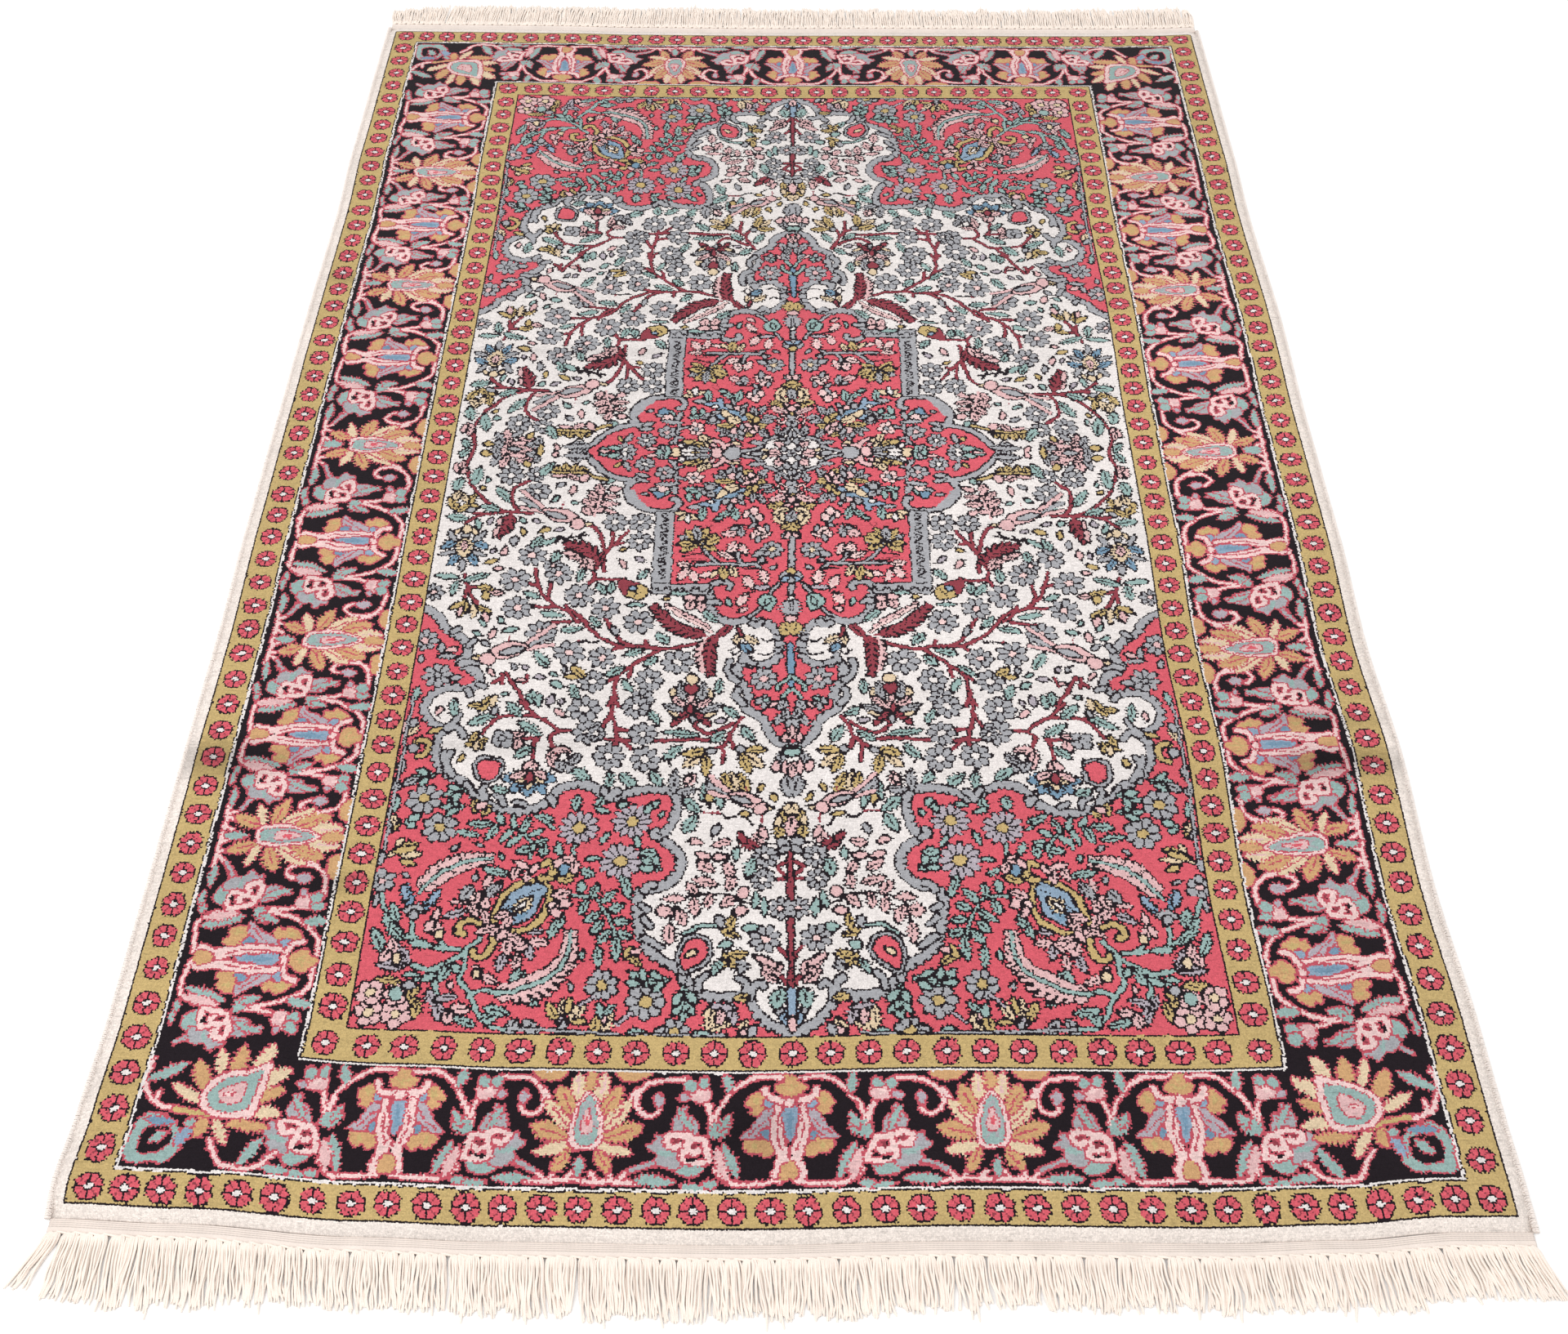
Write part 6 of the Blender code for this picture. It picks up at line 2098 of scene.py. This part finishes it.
chance = np.random.default_rng(21)
roots, aims = [], []
for inward, height, rise in ((0.0002, 0.0018, 0.05), (0.0006, 0.0034, 0.4), (0.0015, 0.0046, 1.0)):
    for side in ("left", "right"):
        low, high = (body_edge(0.0 if side == "left" else 1.0, end)[1] for end in ("near", "far"))
        y = np.arange(low, high, 0.0014)
        y = y + chance.uniform(-0.0005, 0.0005, y.size)
        x = side_x(side, y, SIDE_MARGIN - inward)
        roots.append(np.stack([x, y, np.full(y.size, height)], 1))
        aims.append(np.tile((np.sign(x[0]), 0.0, rise), (y.size, 1)))
roots, aims = np.vstack(roots), np.vstack(aims)
root_mesh = bpy.data.meshes.new("edge_tufts")
root_mesh.from_pydata(roots.tolist(), [], [])
held = root_mesh.attributes.new("towards", "FLOAT_VECTOR", "POINT")
held.data.foreach_set("vector", (aims / np.linalg.norm(aims, axis=1)[:, None]).astype(np.float32).ravel())
edge_tufts = bpy.data.objects.new("edge_tufts", root_mesh)
bpy.context.scene.collection.objects.link(edge_tufts)
edge_tufts = grown(edge_tufts, tuft_tree)
bpy.data.objects.remove(one_tuft)
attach(edge_tufts, "root")
print("edge tufts", len(roots), "with", len(edge_tufts.data.polygons), "faces")

# %% [markdown]
# ## The flat-woven strips
# Beyond the last knots the cotton warps are woven tightly with plain weft, over one and under the
# next. That leaves fine ribs along the strip, one for each weft.

# %% Webs
WEB_THICKNESS = 0.0026
RIBS = {"near": 4, "far": 5}
RIBBED_SHARE = 0.55                       # the rest of the strip is beaten flat


def web(end):
    depth = WEB_DEPTH[end] - GAP
    columns = 2 * 374 + 1
    in_ribs = np.linspace(0.0, RIBBED_SHARE, 4 * RIBS[end] + 1)
    in_flat = RIBBED_SHARE + (1 - RIBBED_SHARE) * np.array([0.12, 0.35, 0.6, 0.85, 1.0])
    share = np.concatenate([in_ribs, in_flat])
    rows = share.size
    share = share[:, None]
    across = np.linspace(0.0, 1.0, columns)
    x, y = body_edge(across, end)
    x, y = np.tile(x, (rows, 1)), np.tile(y, (rows, 1))
    y = y + WAY[end] * (GAP * 0.4 + share * depth)
    over = np.where(np.arange(columns) % 2, 1.0, -1.0)[None, :]
    rib = np.abs(np.sin(np.clip(share / RIBBED_SHARE, 0, 1) * RIBS[end] * math.pi)) ** 0.7
    rib = np.where(share > RIBBED_SHARE, 0.85 + 0.15 * np.sin((share - RIBBED_SHARE) * 7), rib)
    z = WEB_THICKNESS - 0.00085 + 0.0008 * rib + 0.00010 * over
    wander = np.interp(across, np.linspace(0, 1, 60), np.random.default_rng(31).normal(0, 0.00016, 60))
    y = y + WAY[end] * wander * np.sin(share * math.pi)
    z[0], z[-1] = 0.0014, 0.0012
    top = np.stack([x, y, z], -1).reshape(-1, 3)
    grid = np.arange(len(top)).reshape(rows, columns)
    lift = np.broadcast_to(np.maximum(0.0, 0.00035 * (1 - rib)), x.shape)
    under = np.stack([x, y, lift], -1).reshape(-1, 3)
    cells = np.stack([grid[:-1, :-1], grid[:-1, 1:], grid[1:, 1:], grid[1:, :-1]], -1).reshape(-1, 4)
    rim = rim_of(grid)
    after = np.roll(rim, -1)
    walls = np.stack([rim + len(top), after + len(top), after, rim], -1)
    faces = np.vstack([cells, cells[:, ::-1] + len(top), walls])
    if end == "near":
        faces = faces[:, ::-1]
    mesh = bpy.data.meshes.new(end + "_strip")
    mesh.from_pydata(np.vstack([top, under]).tolist(), [], faces.tolist())
    mesh.polygons.foreach_set("use_smooth", np.ones(len(faces), bool))
    mesh.materials.append(web_cotton)
    strip = bpy.data.objects.new(end + "_strip", mesh)
    bpy.context.scene.collection.objects.link(strip)
    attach(strip, "root")
    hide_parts(end + "_web")
    print(strip.name, RIBS[end], "ribs,", len(faces), "faces")
    return strip


webs = [web(end) for end in ("near", "far")]

# %% [markdown]
# ## The fringe
# Warps hang on in bundles, each gathered by a stitch along the strip's edge. A bundle leaves the
# stitch narrow and high, spreads at once until it touches its neighbours, and lies down to the
# floor. The strands keep a slight wave from the weaving, cross here and there, and end unevenly.

# %% Fringe strands
STRANDS = 13
STRAND_POINTS = 15
STRAND_RADIUS = 0.00102

strand_tree, given, result = geometry_tree("strand", {"Radius": STRAND_RADIUS, "Seed": 1})
tree = strand_tree
parameter = geo(tree, "SplineParameter")
tip = mapped(tree, parameter.outputs["Factor"], 0.95, 1.0, 1.0, 0.75)
thickness = math_node(tree, "MULTIPLY", tip, random_value(tree, 0.88, 1.12, given.outputs["Seed"]))
sized = geo(tree, "SetCurveRadius", Curve=given.outputs["Geometry"], Radius=thickness)
along = geo(tree, "CaptureAttribute", Geometry=sized.outputs[0])
along.capture_items.new("FLOAT", "along")
tree.links.new(parameter.outputs["Length"], along.inputs["along"])
ring_profile = geo(tree, "CurvePrimitiveCircle", Resolution=5, Radius=given.outputs["Radius"])
round_it = geo(tree, "CaptureAttribute", Geometry=ring_profile.outputs["Curve"])
round_it.capture_items.new("VECTOR", "around")
tree.links.new(tree.nodes.new("GeometryNodeInputPosition").outputs[0], round_it.inputs["around"])
swept = geo(tree, "CurveToMesh", Curve=along.outputs[0], Profile_Curve=round_it.outputs[0],
            Fill_Caps=True)
if "Scale" in swept.inputs:
    tree.links.new(thickness, swept.inputs["Scale"])
facing = part_of(tree, vector_node(tree, "NORMALIZE", round_it.outputs["around"]))
told = geo(tree, "StoreNamedAttribute", {"data_type": "FLOAT_VECTOR", "domain": "POINT"},
           Geometry=swept.outputs[0], Name="strand",
           Value=join(tree, facing[0], facing[1], along.outputs["along"]))
smooth_it = geo(tree, "SetShadeSmooth", Geometry=told.outputs[0])
coated = geo(tree, "SetMaterial", Geometry=smooth_it.outputs[0], Material=fringe_cotton)
tree.links.new(coated.outputs[0], result.inputs[0])


def fringe(end, seed):
    chance = np.random.default_rng(seed)
    share = (np.arange(TASSELS) + 0.5) / TASSELS
    share[1:-1] += chance.uniform(-0.0011, 0.0011, TASSELS - 2)
    root_x, root_y = body_edge(share, end)
    root_y = root_y + WAY[end] * WEB_DEPTH[end]
    half = 0.5 * (root_x[-1] - root_x[0]) / (TASSELS - 1)
    length = read(HANG, root_x, 1 if end == "near" else 3)
    swing = read(HANG, root_x, 2 if end == "near" else 4)
    paths = []
    s = np.linspace(0, 1, STRAND_POINTS) ** 1.25
    for t in range(TASSELS):
        long = length[t] + chance.uniform(-0.0040, 0.0030)
        push = swing[t] + chance.normal(0, 0.0016)
        wave, phase = chance.uniform(0.0003, 0.0016), chance.uniform(0, 6.28)
        turning = chance.uniform(-0.8, 0.8)
        narrow = chance.uniform(0.42, 0.60)
        for j in range(STRANDS):
            off = (2 * j / (STRANDS - 1) - 1) + chance.uniform(-0.10, 0.10)
            reach = long * (1 + chance.uniform(-0.12, 0.02))
            if chance.random() < 0.03:
                reach *= chance.uniform(1.06, 1.18)
            run = s * reach
            shoulder = np.sqrt(1 - (1 - np.clip(run / 0.0085, 0, 1)) ** 2)
            open_out = narrow + (0.98 - narrow) * shoulder + 0.10 * rising((run - 0.02) / 0.03)
            drift = np.cos(turning * s * 1.2) * off + chance.normal(0, 0.24) * s ** 1.6
            x = root_x[t] + push * s ** 1.3 + drift * half * open_out
            x = x + wave * np.sin(phase + 5.5 * s) * s
            curl = np.sin(chance.uniform(0, 6.28) + chance.uniform(6, 11) * s) * s
            x = x + chance.uniform(0.0003, 0.0015) * curl
            y = root_y[t] + WAY[end] * (run - 0.0012)
            y = y + WAY[end] * 0.0014 * (1 - abs(off)) * (1 - rising(run / 0.012))
            layer = (0.0010, 0.0023, 0.0034)[(5 * j + t) % 3]
            head = 0.00175 + 0.0013 * (1 - off * off)
            bulge = np.sin(np.pi * np.clip(run / 0.010, 0, 1))
            z = head + (layer - head) * rising(run / 0.013) + 0.0012 * bulge
            z = z - (layer - STRAND_RADIUS) * rising((run / reach - 0.65) / 0.35)
            lift = chance.uniform(0, 0.0007) * np.sin(chance.uniform(0, 6.28) + 7 * s) * s
            z = np.maximum(z + lift, STRAND_RADIUS * 1.12)
            paths.append(np.stack([x, y, z], 1))
    # the gathering stitch: one slanting length of yarn from bundle to bundle
    for t in range(TASSELS - 1):
        k = np.linspace(0, 1, STRAND_POINTS)
        x = root_x[t] + (root_x[t + 1] - root_x[t]) * (0.12 + 0.76 * k)
        y = root_y[t] + (root_y[t + 1] - root_y[t]) * k + WAY[end] * (-0.0013 + 0.0016 * k)
        z = 0.0019 + 0.0012 * np.sin(np.pi * k) ** 0.6
        paths.append(np.stack([x, y, z], 1))
    piece = grown(polyline(end + "_tassels", paths), strand_tree, Seed=seed)
    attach(piece, "root")
    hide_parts(end + "_fringe")
    print(piece.name, TASSELS * STRANDS, "strands,", len(piece.data.polygons), "faces")
    return piece


fringes = [fringe("near", 41), fringe("far", 42)]
